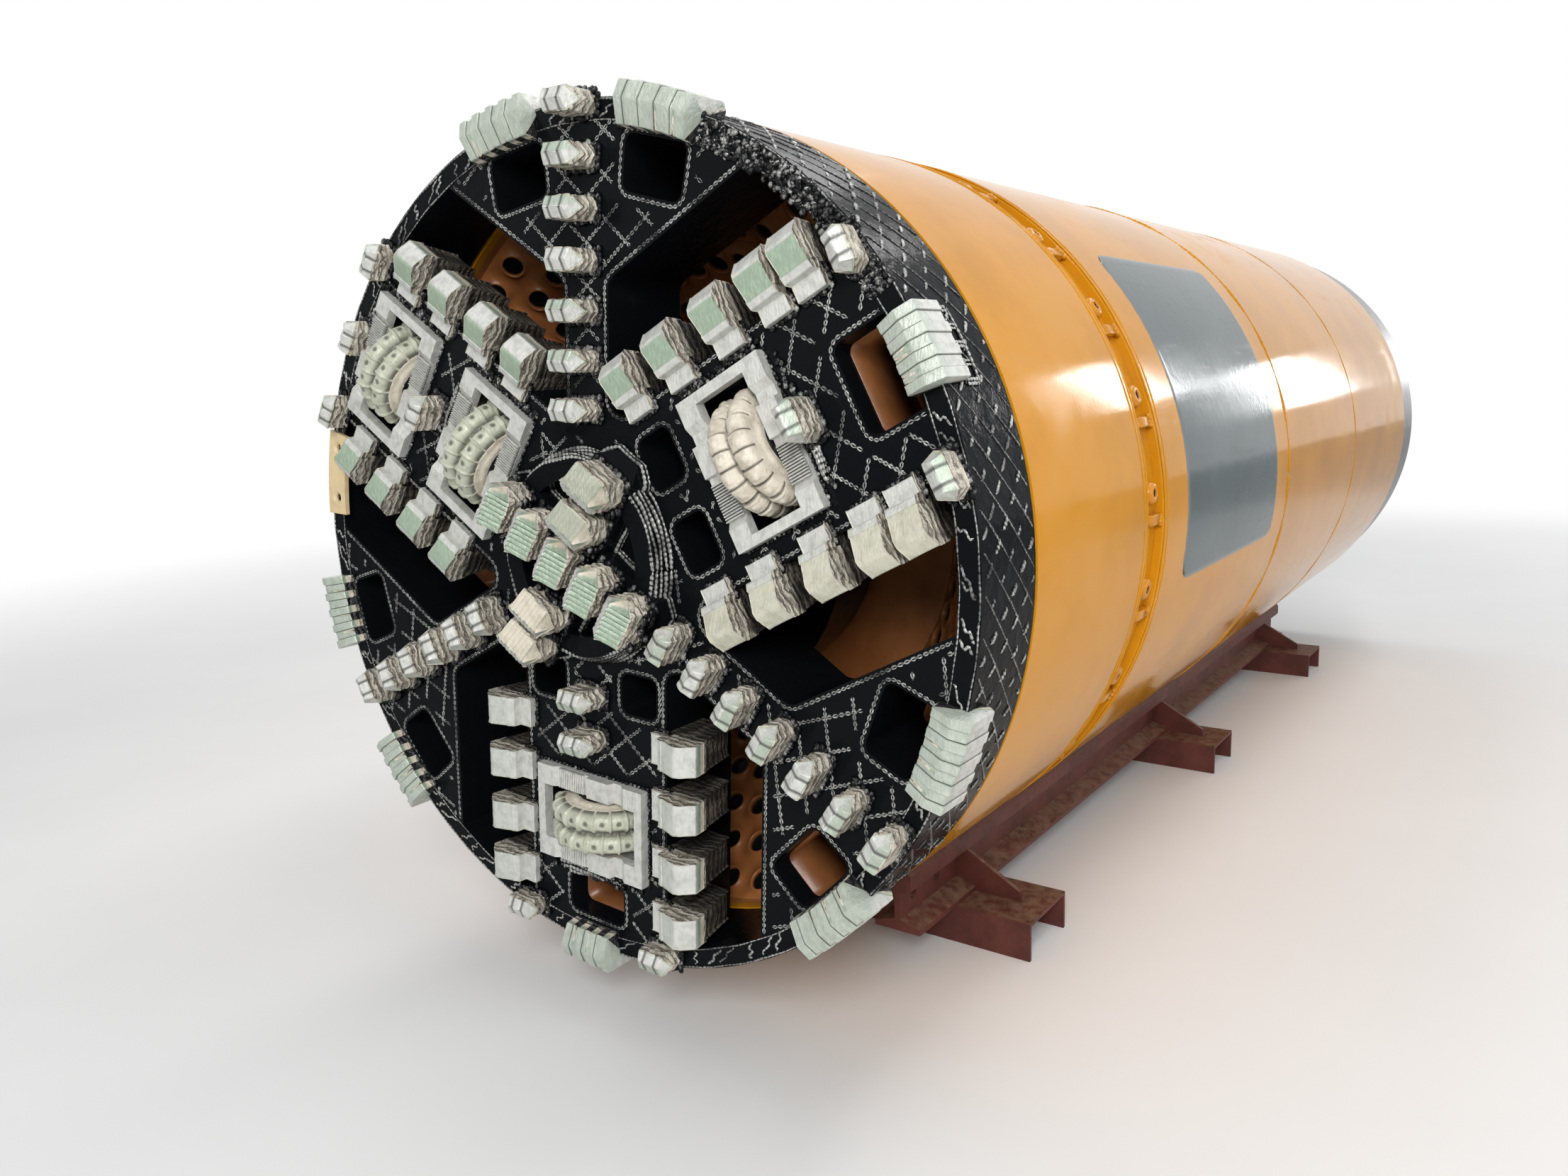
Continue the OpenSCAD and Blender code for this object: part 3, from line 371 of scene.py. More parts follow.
def panel_film(colour):
    """Printed film on the shield, blank: faint bubbles, a paler rubbed border and soft gloss."""
    f = Finish("panel_film")
    clouds = f.noise(2.4, 5.0, 0.6)
    edge = f.attribute("edge")
    bubbles = f.noise(34.0, 4.0, 0.6)
    film = f.mix(clouds.ramp(0.3, 0.7), darker(colour, 0.72), colour)
    rimmed = f.mix(edge * 0.55, film, (0.30, 0.31, 0.30))
    rub = f.noise(40.0, 4.0, 0.6, f.stretched((0.08, 1.0, 1.0))).ramp(0.55, 0.75)
    return f.surface(color=rimmed, rough=clouds * 0.10 + 0.10 + rub * 0.12, specular=0.16, coat=0.05,
                     normal=f.bump(bubbles, 0.0010, 0.4), coat_rough=0.08)


def floor_paint(colour):
    """Plain pale floor, a little uneven; far from the object the camera sees it turn white."""
    f = Finish("floor_paint")
    cloud = f.noise(1.3, 5.0, 0.6)
    shade = f.mix(cloud.ramp(0.3, 0.7), darker(colour, 0.97), colour)
    f.surface(color=shade, rough=0.65)
    far = f.add("ShaderNodeVectorMath", {"operation": "LENGTH"}, [f.place()], "Value").ramp(3.5, 8.0)
    seen = f.add("ShaderNodeLightPath", {}, [], "Is Camera Ray")
    white = f.add("ShaderNodeEmission", {}, {"Color": (1.0, 1.0, 1.0), "Strength": 1.0})
    whole = f.add("ShaderNodeMixShader", {}, {0: far * seen, 1: Value(f, f.shader.outputs[0]), 2: white})
    f.tree.links.new(whole.socket, f.output.inputs[0])
    return f.material


def mesh_object(name, verts, quads, material, body, tones=None):
    """Mesh from whole arrays: verts (n, 3) and quads (m, 4); tones holds named values, one a vertex."""
    verts = np.ascontiguousarray(verts, np.float32).reshape(-1, 3)
    quads = np.ascontiguousarray(quads, np.int32).reshape(-1, 4)
    mesh = bpy.data.meshes.new(name)
    mesh.vertices.add(len(verts))
    mesh.vertices.foreach_set("co", verts.ravel())
    mesh.loops.add(quads.size)
    mesh.loops.foreach_set("vertex_index", quads.ravel())
    mesh.polygons.add(len(quads))
    mesh.polygons.foreach_set("loop_start", np.arange(0, quads.size, 4, dtype=np.int32))
    mesh.polygons.foreach_set("use_smooth", np.ones(len(quads), bool))
    for key, values in (tones or {}).items():
        attribute = mesh.attributes.new(key, "FLOAT", "POINT")
        attribute.data.foreach_set("value", np.ascontiguousarray(values, np.float32).ravel())
    mesh.update(calc_edges=True)
    mesh.validate()
    mesh.materials.append(material)
    piece = link(name, mesh)
    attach(piece, body)
    return piece


def joined(parts):
    """One (verts, quads, tones) from several, with the corners of the quads counted on."""
    offsets = np.cumsum([0] + [len(v) for v, q, t in parts[:-1]])
    quads = np.concatenate([q + o for (v, q, t), o in zip(parts, offsets)])
    return np.concatenate([v for v, q, t in parts]), quads, np.concatenate([t for v, q, t in parts])


def ripple(points, scale, seed=0.0):
    """Smooth noise from -1 to 1: products of sines along turned axes, at two scales."""
    x, y, z = (points[..., i] * scale + seed * (i + 1.7) for i in range(3))
    one = np.sin(x + 1.7 * y) * np.sin(y - 1.3 * z + 0.5) + np.sin(z * 1.1 + 0.7 * x) * np.cos(x * 0.9 - y)
    two = np.sin(2.3 * x - z + seed) * np.sin(2.1 * y + 1.9 * z)
    return (one * 0.7 + two * 0.5) / 1.9


def cube_grid(n):
    """Surface of the cube from -1 to 1 with n by n quads a side: corners (v, 3) and quads, closed."""
    line = np.linspace(-1, 1, n + 1)
    a, b = np.meshgrid(line, line, indexing="ij")
    one = np.ones_like(a)
    sides = ((one, a, b), (-one, b, a), (b, one, a), (a, -one, b), (a, b, one), (b, a, -one))
    points = np.concatenate([np.stack(side, -1).reshape(-1, 3) for side in sides])
    quads = np.concatenate([grid_quads(n + 1, n + 1) + k * (n + 1) ** 2 for k in range(6)])
    _, first, back = np.unique(np.round(points * 4096).astype(int), axis=0, return_index=True,
                               return_inverse=True)
    return points[first], back.ravel()[quads]


def outward(verts, quads):
    """The quads turned so that the volume they close is positive."""
    p0, p1, p2, p3 = (verts[quads[:, i]] for i in range(4))
    volume = (p0 * np.cross(p1, p2)).sum() + (p0 * np.cross(p2, p3)).sum()
    return quads if volume > 0 else quads[:, ::-1]


def skin(rings):
    """Closed skin over rings of points (levels, n, 3); the first and last ring close on their middles."""
    first = rings[0].mean(0) + (rings[0] - rings[0].mean(0)) * 0.02
    last = rings[-1].mean(0) + (rings[-1] - rings[-1].mean(0)) * 0.02
    stack = np.concatenate([first[None], rings, last[None]])
    verts = stack.reshape(-1, 3)
    return verts, outward(verts, grid_quads(len(stack), rings.shape[1], True))


def sides_of(outline, grow=0.0):
    """The corners of an outline moved out by grow, the directions of the sides before and after each, and
    the outward normals of those two sides."""
    p = np.asarray(outline, float)
    u, v = p - np.roll(p, 1, 0), np.roll(p, -1, 0) - p
    u, v = u / np.linalg.norm(u, axis=1)[:, None], v / np.linalg.norm(v, axis=1)[:, None]
    a, b = np.stack([u[:, 1], -u[:, 0]], -1), np.stack([v[:, 1], -v[:, 0]], -1)
    return p + (a + b) * (grow / (1 + (a * b).sum(1)))[:, None], u, v, a, b


def bevelled(points, bevel, grow=0.0):
    """Outline with every corner moved out by grow and split in two, one point on each of its sides."""
    tip, u, v, _, _ = sides_of(points, grow)
    return np.stack([tip - u * bevel, tip + v * bevel], 1).reshape(-1, 2)


def bit(w, l, h, fall, point, lean, top, marks, bevel, relief, seed):
    """Hexagonal block whose sides rise to a roof along Z. The outline is carried up the sides, then each
    of its points runs straight to the ridge: place = (1 - q) outline + q ridge. relief(z, y) raises the
    roof and pushes out the upper sides. Gives corners, quads, the tone of each corner, and how much painted
    shade it takes, most where the relief sinks."""
    a = l / 2 - point
    right = [(w / 2, z) for z in (-a, *marks, a)]
    left = [(-w / 2, z) for z in (a, *marks[::-1], -a)]
    corners = [*right, (0, l / 2), *left, (0, -l / 2)]
    outline = bevelled(corners, bevel)
    tight = bevelled(corners, bevel, -bevel)
    wide = outline - outline.mean(0)
    wide /= np.linalg.norm(wide, axis=1)[:, None]
    z = outline[:, 1]
    ends = np.clip((np.abs(z) - a) / point, 0, 1)
    eave = np.minimum(h - fall, h * 0.55 + (l / 2 - np.abs(z)) / (l / 2 - top / 2) * h * 0.45)
    ridge = np.stack([np.full_like(z, lean), np.clip(z, -top / 2, top / 2)], -1)
    lift = relief(z, outline[:, 0]) * (1 - ends)
    # painted shade: corners where the relief sinks are marked dark, more so high on the sides and on the roof
    low = np.clip(-lift / 0.0022, 0, 1)
    rings, tones, shade_and_dirt_rings = [], [], []
    for share in (0.0, 0.16, 0.30, 0.44, 0.58, 0.72, 0.86, 0.96):
        layer = 0.0016 * np.sin(share * 23 + 1.3 * np.sin(z * 90 + seed) + seed)
        place = outline + wide * (layer + lift * 0.55 * share ** 2)[:, None]
        rings.append(np.column_stack([eave * share, place]))
        tones.append(np.full(len(z), 3.6 if share < 0.1 else 3.0))
        shade_and_dirt_rings.append(low * share ** 2)
    for q in (0.0, 0.07, 0.30, 0.55, 0.80, 0.95, 1.0):
        place = tight * (1 - q) + ridge * q + wide * (lift * 0.45 * (1 - q))[:, None]
        x = eave + (h - eave) * q + lift * (0.6 + 0.4 * q) - (0.0008 if q == 1.0 else 0.0)
        x = x + 0.0007 * np.sin(place[:, 1] * 240 + place[:, 0] * 170 + seed * 2)
        rings.append(np.column_stack([x, place]))
        tones.append(np.where(ends > 0.5, 2.0, 0.0) if q else np.full(len(z), 1.4))
        shade_and_dirt_rings.append(low)
    verts, quads = skin(np.stack(rings))
    tone = np.stack([tones[0], *tones, tones[-1]])
    dirt = np.stack([shade_and_dirt_rings[0], *shade_and_dirt_rings, shade_and_dirt_rings[-1]])
    return verts, quads, tone.ravel(), dirt.ravel()


def placed(x, out, round_, angle):
    """Row-frame places from a distance along the machine, one out from its axis and one round it: Y and Z
    are (out, round) turned by the angle in radians, about the axis."""
    y, z = out * np.cos(angle) - round_ * np.sin(angle), out * np.sin(angle) + round_ * np.cos(angle)
    return np.stack(np.broadcast_arrays(x, y, z + AXIS_Z), -1)


def radial(angle):
    """Directions straight out from the axis."""
    return placed(0.0, 1.0, 0.0, angle) - [0, 0, AXIS_Z]


def on_arm(points, angle, s, t=0.0):
    """Row-frame places of points (X out of the face, Y along the arm, Z round) on an arm."""
    x, out, round_ = np.moveaxis(points, -1, 0)
    return placed(x, out + s, round_ + t, math.radians(angle + HEAD_TURN))


def pick_places():
    """Arm angle, place along it, distance round and height of every pick."""
    places = []
    for angle, gap in PICK_ROWS:
        count = int((SHIELD_R - gap - PICK_MIN_R) / PICK_PITCH) + 1
        places += [(angle, SHIELD_R - gap - k * PICK_PITCH, 0.0, 1.0) for k in range(count)]
    places += [(angle, SHIELD_R - gap, 0.0, 1.0) for angle, gap in ARM_PICKS]
    places += [(angle, SHIELD_R - EDGE_PICK_IN, t, 0.744) for angle, t in EDGE_PICKS]
    return places


def scraper_places():
    """Arm angle, place along it and side of every scraper."""
    return [(arm, SHIELD_R - gap, flip) for arm, gaps in SCRAPER_ROWS.items() for gap in gaps
            for flip in (1, -1)]


def picks(material, width, length, height):
    """Every pick is such a block with three humps along its roof and hollows between them."""
    third = length / 6
    marks = (-0.023, -third, -0.007, 0.007, third, 0.023)

    def humps(z, y):
        return -0.0022 * np.exp(-((np.abs(z) - third) / 0.0026) ** 2)

    parts = []
    for k, (angle, s, t, share) in enumerate(pick_places()):
        verts, quads, tone, dirt = bit(width, length, height * share, 0.010, 0.012, 0.002 * math.sin(k * 2.1),
                                       length * 0.6, marks, 0.0012, humps, k * 1.7)
        facet = (verts[:, 1] > 0.001) & (tone < 0.5)
        tone = np.where(facet, 0.60 if k % 3 else 0.2, np.where(tone == 2.0, 0.35, tone))
        parts.append((on_arm(verts + [FACE_X, 0, 0], angle, s, t), quads, np.column_stack([tone, dirt])))
    piece = bit_object("cutter_picks", parts, material)
    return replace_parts(piece, "picks_a", "picks_b", "picks_c", "arm_picks", "edge_picks")


def rippers(material, width, length):
    """Blocks with one wide and one narrow slope; seven ribs step along them, a saw-tooth in Z. By the angle
    of their beam, flatness is what is left of the ribs on the narrow slope, tint the tone of the wide one
    and soil the least darkening on it."""
    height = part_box("centre_rippers")[1].x - BEAM_X
    rib = (length - 0.028) / 7
    marks = tuple((k - 3.5 + part) * rib for k in range(7) for part in (0.0, 0.36, 0.72) if k or part)
    looks = {150: (1.0, 1.0, 0.42), 60: (0.12, 1.5, 0.50), 240: (0.45, 2.0, 0.0)}
    parts = []
    for k, (angle, s, side) in enumerate(RIPPERS):
        flatness, tint, soil = looks[angle]

        def saw(z, y):
            steps = (1.0 - (1.0 - (z / rib + 3.5) % 1.0) ** 2.2 - 0.62) * 0.0062
            return steps * np.where(side * y > 0, 1.0, flatness)

        verts, quads, tone, dirt = bit(width, length, height, 0.017, 0.014, side * 0.011, length * 0.84,
                                       marks, 0.0009, saw, k * 2.3)
        wide = (side * verts[:, 1] < 0.009) & (tone < 0.5)
        tone = np.where(wide, tint, tone)
        # painted shade from the ribs' hollows, weaker on the narrow slope, and at least soil of darkening all
        # over
        dirt = np.maximum(dirt * np.where(wide, 0.85, 0.5), soil * np.where(wide, 1.0, 0.7))
        parts.append((on_arm(verts + [BEAM_X, 0, 0], angle, s), quads, np.column_stack([tone, dirt])))
    piece = bit_object("centre_ripper_set", parts, material)
    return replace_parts(piece, "centre_rippers")


def bar(section, low, high, bevel, seed, wave=None):
    """A convex outline in X and Z carried along Y, its corners and its ends bevelled; wave(x, z, y) pushes
    the front. Gives corners, quads and, for each corner, 1 where it belongs to an end face."""
    outline = bevelled(section, bevel)
    tight = bevelled(section, bevel, -bevel)
    rings = []
    between = [(y, outline) for y in np.linspace(low + bevel, high - bevel, 9)]
    for y, ring in [(low, tight), *between, (high, tight)]:
        x, z = ring.T
        push = (wave(x, z, y) if wave else 0.0) + 0.0004 * np.sin(z * 260 + y * 330 + seed)
        rings.append(np.column_stack([x + push, np.full(len(x), y), z]))
    core = rings[0].mean(0)
    inner = [core + (ring - core) * 0.55 for ring in (rings[0], rings[-1])]
    for ring, y in zip(inner, (low, high)):
        ring[:, 1] = y
    rings = np.stack([inner[0], *rings, inner[1]])
    verts, quads = skin(rings)
    ends = np.zeros((len(rings) + 2, len(outline)))
    ends[:3] = ends[-3:] = 1
    return verts, quads, ends.ravel()


def scrapers(material, width, reach):
    """Each scraper is a flat foot plate on the arm, a thin band, a wedge over the opening with a bevelled
    tip, and a dark body behind it."""
    side = DISC_ARM_W
    tip = side + reach
    w = width / 2

    def scallop(x, z, y):
        front = np.clip((x - 0.030) / 0.01, 0, 1) * np.clip((tip - 0.026 - z) / 0.01, 0, 1)
        return front * 0.0013 * (abs(math.sin(y * 230 + 0.6)) - 0.6)

    foot = [(0.0, side - 0.024), (0.017, side - 0.024), (0.017, side + 0.008), (0.0, side + 0.008)]
    band = [(0.010, side + 0.004), (0.034, side + 0.007), (0.039, side + 0.019), (0.010, side + 0.022)]
    wedge = [(-0.012, side + 0.018), (0.036, side + 0.018), (0.050, tip - 0.034), (0.046, tip - 0.022),
             (0.024, tip), (-0.012, tip - 0.004)]
    body = [(-0.106, side + 0.001), (-0.006, side + 0.001), (-0.006, tip - 0.008), (-0.106, tip - 0.026)]
    parts = []
    for k, (angle, s, flip) in enumerate(scraper_places()):
        front = 1.55 if (angle, flip) == (30, -1) else 0.45 if angle == 270 else 1.0
        for section, wave, shade, bevel in ((foot, None, 0.0, 0.0012), (band, None, 0.4, 0.0014),
                                            (wedge, scallop, front, 0.0012), (body, None, 5.0, 0.0030)):
            verts, quads, ends = bar(section[::-1], -w, w, bevel, k, wave)
            x, _, z = verts.T
            flat = ends < 0.5
            # painted shade: a dark line in the groove between band and wedge, and the wedge darkened near the
            # face; on the cream row the tip is greyed a little, as its colour
            dirt = flat & (x < 0.037) & (np.abs(z - side - 0.019) < 0.0035)
            if section is wedge:
                dirt = (x < 0.020) * 0.6 + (front > 1.2) * (z > tip - 0.024) * 0.20
            shade = np.full(len(x), shade)
            if section is not body:
                shade[~flat & (x > -0.005)] = 3.0
                shade[flat & (z > tip - 0.024) & (shade < 1.2)] = 0.0
                shade[(x < 0.001) & (z > side)] = 3.2
            verts = verts * [1, 1, flip]
            parts.append((on_arm(verts + [FACE_X, 0, 0], angle, s), outward(verts, quads),
                          np.column_stack([shade, dirt])))
    piece = bit_object("scraper_set", parts, material)
    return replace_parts(piece, "scrapers_a", "scrapers_b", "scrapers_c")


def bit_object(name, parts, material):
    """One piece of the head from parts whose corners carry tone and painted shade, with a little dirt."""
    verts, faces, marks = joined(parts)
    piece = mesh_object(name, verts, faces, material, "cutterhead",
                        {"tone": marks[:, 0], "dirt": marks[:, 1]})
    piece.data.set_sharp_from_angle(angle=math.radians(24))
    return piece


def grid_quads(n, m, wrap=False):
    """Quads of an n by m grid of vertices; wrap joins the last column to the first."""
    index = np.arange(n * m).reshape(n, m)
    if wrap:
        index = np.concatenate([index, index[:, :1]], 1)
    return np.stack([index[:-1, :-1], index[1:, :-1], index[1:, 1:], index[:-1, 1:]], -1).reshape(-1, 4)


def resampled(path, step, closed=False):
    """Points at even steps along a polyline, and their distances along it."""
    path = np.asarray(path, float)
    if closed:
        path = np.concatenate([path, path[:1]])
    along = np.concatenate([[0], np.cumsum(np.linalg.norm(np.diff(path, axis=0), axis=1))])
    count = max(int(along[-1] / step), 3) + 1
    places = np.linspace(0, along[-1], count)
    return np.stack([np.interp(places, along, column) for column in path.T], -1), places


def bead(path, up, radius, pitch, around, seed, step=None, shine=1.0):
    """A run of weld: a tube on the path whose radius swells once each pitch, r = R (0.72 + 0.28 |sin|), and
    tapers to a point at its ends. With a step, the path gets even points and the bead wanders a little from
    side to side; without one, its points are even already."""
    if step:
        points, along = resampled(path, step)
    else:
        points, along = path, np.arange(len(path)) * np.linalg.norm(path[1] - path[0])
    side, up, ends = strand_frame(points, along, up, radius)
    swell = np.abs(np.sin(along * math.pi / pitch + seed))
    r = radius * (0.72 + 0.28 * swell) * (1 + 0.22 * np.sin(along * 37 + seed * 3)) * ends
    if step:
        points = points + side * (np.sin(along * 61 + seed * 5) * radius * 0.25)[:, None]
    # painted glint: the top of the bead is marked brighter at each swell, by shine
    return tube(points, side, up, r, around, shine * swell)


def strand_frame(points, along, up, radius):
    """The sideways and upward direction of each point of a line, and a taper that closes its ends."""
    up = np.broadcast_to(np.asarray(up, float), points.shape)
    tangent = np.gradient(points, axis=0)
    tangent /= np.linalg.norm(tangent, axis=1)[:, None] + 1e-12
    ends = np.clip(np.minimum(along, along[-1] - along) / radius + 0.05, 0, 1)
    return np.cross(tangent, up), up, np.sqrt(ends)


def tube(centre, side, up, r, around, bright):
    """Rings of points about a line, with a mark for a painted glint: how far each point looks up, times its
    brightness; partly it stands for steel rubbed bright.
    """
    turn = np.linspace(0, 2 * math.pi, around, endpoint=False)
    ring = np.cos(turn)[None, :, None] * side[:, None] + np.sin(turn)[None, :, None] * up[:, None] * 0.8
    verts = (centre[:, None] + ring * r[:, None, None]).reshape(-1, 3)
    # painted glint: the upward side of the tube is marked bright
    crest_rub_and_glint = np.clip(np.sin(turn), 0, 1)[None] * (0.50 + 0.50 * bright)[:, None]
    return verts, grid_quads(len(centre), around, True)[:, ::-1], crest_rub_and_glint.ravel()


def chain(path, seed, radius):
    """Two thin beads on the face that cross each other once a pitch, as the links of a chain."""
    points, along = resampled(path, BEAD_STEP)
    side, up, ends = strand_frame(points, along, (1, 0, 0), radius)
    parts = []
    for strand in (-1, 1):
        wave = np.sin(along * math.pi / CHAIN_PITCH + seed + 1.3 * np.sin(along * 31 + seed))
        centre = points + side * (strand * wave * radius * 0.72)[:, None]
        r = radius * 0.55 * ends * (1 + 0.2 * np.sin(along * 53 + seed * 3 + strand))
        # painted glint: each strand is marked brightest where it swings out
        parts.append(tube(centre, side, up, r, 5, np.abs(wave)))
    return joined(parts)


def kept_ranges(keep):
    """The stretches where keep is true, more than three points long, as slices."""
    edges = np.flatnonzero(np.diff(np.concatenate([[0], keep.astype(int), [0]])))
    return [slice(a, b) for a, b in zip(edges[::2], edges[1::2]) if b - a > 3]


def rounded_outline(points, radius, grow=0.0):
    """Convex outline, counter-clockwise, grown on every side, its corners turned into arcs."""
    tip, u, v, a, b = sides_of(points, grow)
    r = radius + grow
    half = np.arccos(np.clip((-u * v).sum(1), -1, 1)) / 2
    inward = (v - u) / np.linalg.norm(v - u, axis=1)[:, None]
    centre = tip + inward * (r / np.sin(half))[:, None]
    share = np.linspace(0, 1, 7)[None, :, None]
    arm = a[:, None] * (1 - share) + b[:, None] * share
    arm /= np.linalg.norm(arm, axis=2)[:, :, None]
    return (centre[:, None] + arm * r).reshape(-1, 2)


def turned_flat(points, degrees):
    a = math.radians(degrees)
    return points @ np.array([[math.cos(a), math.sin(a)], [-math.sin(a), math.cos(a)]])


def circle(r, count):
    """Points of a full circle in the face plane, the last one on the first."""
    turn = np.linspace(0, 2 * math.pi, count)
    return np.column_stack([np.cos(turn), np.sin(turn)]) * r


def rectangle(s, t, half_s, half_t):
    return np.array([(s - half_s, t - half_t), (s + half_s, t - half_t), (s + half_s, t + half_t),
                     (s - half_s, t + half_t)])


def outside(points, outline, angle):
    """How far points of the face lie outside a convex outline on the arm at that angle."""
    p, _, _, _, normal = sides_of(outline)
    return ((turned_flat(points, -angle)[:, None] - p) * normal).sum(2).max(1)


def opening_outlines():
    """Every opening of the face: arm angle, outline along and round the arm, corner radius."""
    start = (PICK_ARM_W + 0.5 * DISC_ARM_W) / math.sin(math.radians(60))
    far = (PICK_ARM_W + 0.5 * OPENING_W) / math.sin(math.radians(60))
    big = np.array([(start, DISC_ARM_W), (SHIELD_R, DISC_ARM_W), (SHIELD_R, OPENING_W), (far, OPENING_W)])
    wedge = np.array([(SHIELD_R - s, t) for s, t in WEDGE_CORNERS])
    kinds = ((DISC_ARMS, big, 0.030), (PICK_ARMS, wedge, 0.018))
    found = [(a, outline, corner) for arms, shape, corner in kinds
             for a in arms for outline in (shape, shape[::-1] * [1, -1])]
    found += [(a, rectangle(SHIELD_R - (low + high) / 2, 0.0, (high - low) / 2, t), 0.018)
              for a, low, high, t in END_OPENINGS]
    return found + [(a, rectangle(s, side * t, half_s, half_t), 0.018)
                    for a, s, t, half_s, half_t in HUB_OPENINGS for side in (-1, 1)]


def pockets():
    """The pockets of the disc cutters: arm angle, outline and corner radius."""
    return [(a, rectangle(SHIELD_R - gap, 0.0, POCKET_W / 2, POCKET_L / 2), 0.004)
            for a, gap in DISCS.values()]


def face_points(points, degrees=0.0, x=0.0):
    """Points of the face plane, in the head's own directions turned by degrees, as row-frame places."""
    return placed(FACE_X + x, points[:, 0], points[:, 1], math.radians(degrees + HEAD_TURN))


def edge_welds(material, radius):
    """A thin chain of weld round every opening of the face, and a bead along each edge of the rim."""
    away, inner = 0.008, SHIELD_R - RIM_T
    parts = []
    for k, (angle, outline, corner) in enumerate(opening_outlines()):
        path, _ = resampled(rounded_outline(outline, corner, away), 0.003, True)
        keep = np.linalg.norm(path, axis=1) < inner - away / 2
        if keep.all():
            path = np.concatenate([path, path[:3]])
            keep = np.ones(len(path), bool)
        parts += [chain(face_points(path[run], angle), k, radius * 0.62) for run in kept_ranges(keep)]
    for k, (r, size) in enumerate(((SHIELD_R - 0.003, 0.45), (inner + 0.002, 0.36))):
        parts.append(bead(face_points(circle(r, 1500)), (1, 0, 0), radius * size, 0.0095, 5, k, 0.0036))
    return joined_object("face_edge_welds", parts, material)


def joined_object(name, parts, material, body="cutterhead", mark="crest_rub_and_glint"):
    """One piece from parts whose corners carry one mark each."""
    verts, faces, marks = joined(parts)
    return mesh_object(name, verts, faces, material, body, {mark: marks})


def diamond_welds(material, radius, spacing):
    """Straight beads at a slope both ways over every arm, kept off the openings, the pockets and the hub."""
    slope, start, hub_clear, clear = 1.25, 0.150, 0.212, 0.022
    reach = SHIELD_R - RIM_T + 0.004
    sector = math.tan(math.radians(30))
    shapes = opening_outlines() + pockets()
    s = np.arange(start, SHIELD_R, 0.0030)
    parts = []
    for a in DISC_ARMS + PICK_ARMS:
        for lean in (slope, -slope):
            for k, offset in enumerate(np.arange(-1.8, 1.8, spacing * math.hypot(1, slope))):
                t = lean * (s - 0.5) + offset
                line = turned_flat(np.stack([s, t], -1), a)
                away = np.linalg.norm(line, axis=1)
                keep = (away < reach) & (away > hub_clear) & (np.abs(t) < s * sector + 0.002)
                for angle, outline, _ in shapes:
                    if keep.any():
                        keep &= outside(line, outline, angle) > clear
                parts += [chain(face_points(line[run]), k + a, radius) for run in kept_ranges(keep)]
    return joined_object("face_diamond_welds", parts, material)


def rim_welds(material, radius, spacing):
    """Slanting lines round the rim's outside: thin unbroken ones one way with a weaker painted glint, short
    beads with the full painted glint the other.
    """
    parts = []
    depth = FACE_X - HEAD_REAR
    turns = int(2 * math.pi * SHIELD_R / spacing)
    share = np.linspace(0.05, 0.97, 60)
    for lean in (1, -1):
        for k in range(turns):
            angle = 2 * math.pi * k / turns + lean * share * depth / SHIELD_R
            points, along = resampled(placed(FACE_X - share * depth, SHIELD_R - 0.001, 0.0, angle), 0.0042)
            ups = (points - [0, 0, AXIS_Z]) * [0, 1, 1]
            ups /= np.linalg.norm(ups, axis=1)[:, None]
            if lean < 0:
                # painted glint at less than half strength on the unbroken lines
                parts.append(bead(points, ups, radius * 0.66, BEAD_PITCH, 5, k, shine=0.45))
                continue
            cell = along / (spacing / math.sqrt(2)) + 0.31 * (k % 3)
            for run in kept_ranges(np.abs(cell % 1.0 - 0.5) < 0.33 + 0.05 * math.sin(k * 1.7)):
                parts.append(bead(points[run], ups[run], radius, 0.0085, 6, k))
    return joined_object("rim_diamond_welds", parts, material)


def rim_facing(material):
    """Rough beads piled on the rim's front between the 30 and 90 degree arms, short slanting ones round the
    rest of it, and the ladder of bead behind the 30 degree teeth."""
    count = 640
    u, v = scatter(count, 3)
    a = np.radians(38 + 46 * u)
    flat = np.column_stack([np.cos(a), np.sin(a)]) * (SHIELD_R - 0.004 - v * 0.044)[:, None]
    size = 0.0035 + 0.0055 * np.column_stack([scatter(count, 5)[0], *scatter(count, 6)])
    parts = [lump_mesh(face_points(flat, 0, -0.0005), size * [0.8, 1, 1])]
    share = np.linspace(0, 1, 12)
    strokes = 108
    for k in range(strokes):
        place = 360 * k / strokes + 0.8 * math.sin(k * 2.3)
        if 36 < place < 86 or any(abs((place - g + 180) % 360 - 180) < 6.5 for g, _ in GAUGE):
            continue
        a = np.radians(place - (2.2 + 1.5 * math.sin(k * 4.1)) * share + 0.35 * np.sin(share * 11 + k))
        flat = np.column_stack([np.cos(a), np.sin(a)]) * (SHIELD_R - 0.035 + 0.026 * share)[:, None]
        parts.append(bead(face_points(flat), (1, 0, 0), 0.0034, 0.009, 6, k, BEAD_STEP))
    middle, r = 30 + HEAD_TURN, SHIELD_R + 0.001
    turn = np.radians(middle + np.linspace(-4.6, 4.6, 40))
    for back in (0.066, 0.074, 0.112):
        x = FACE_X - back
        parts.append(bead(placed(x, r, 0.0, turn), radial(turn), 0.0042, BEAD_PITCH, 7, x))
    for k in range(5):
        turn = math.radians(middle - 4.4 + 2.2 * k)
        for shift in (-0.0035, 0.0035):
            path = placed(FACE_X - np.linspace(0.070, 0.110, 14), r, -shift, turn)
            parts.append(bead(path, radial(turn), 0.0038, BEAD_PITCH, 7, k))
    return joined_object("rim_facing", parts, material)


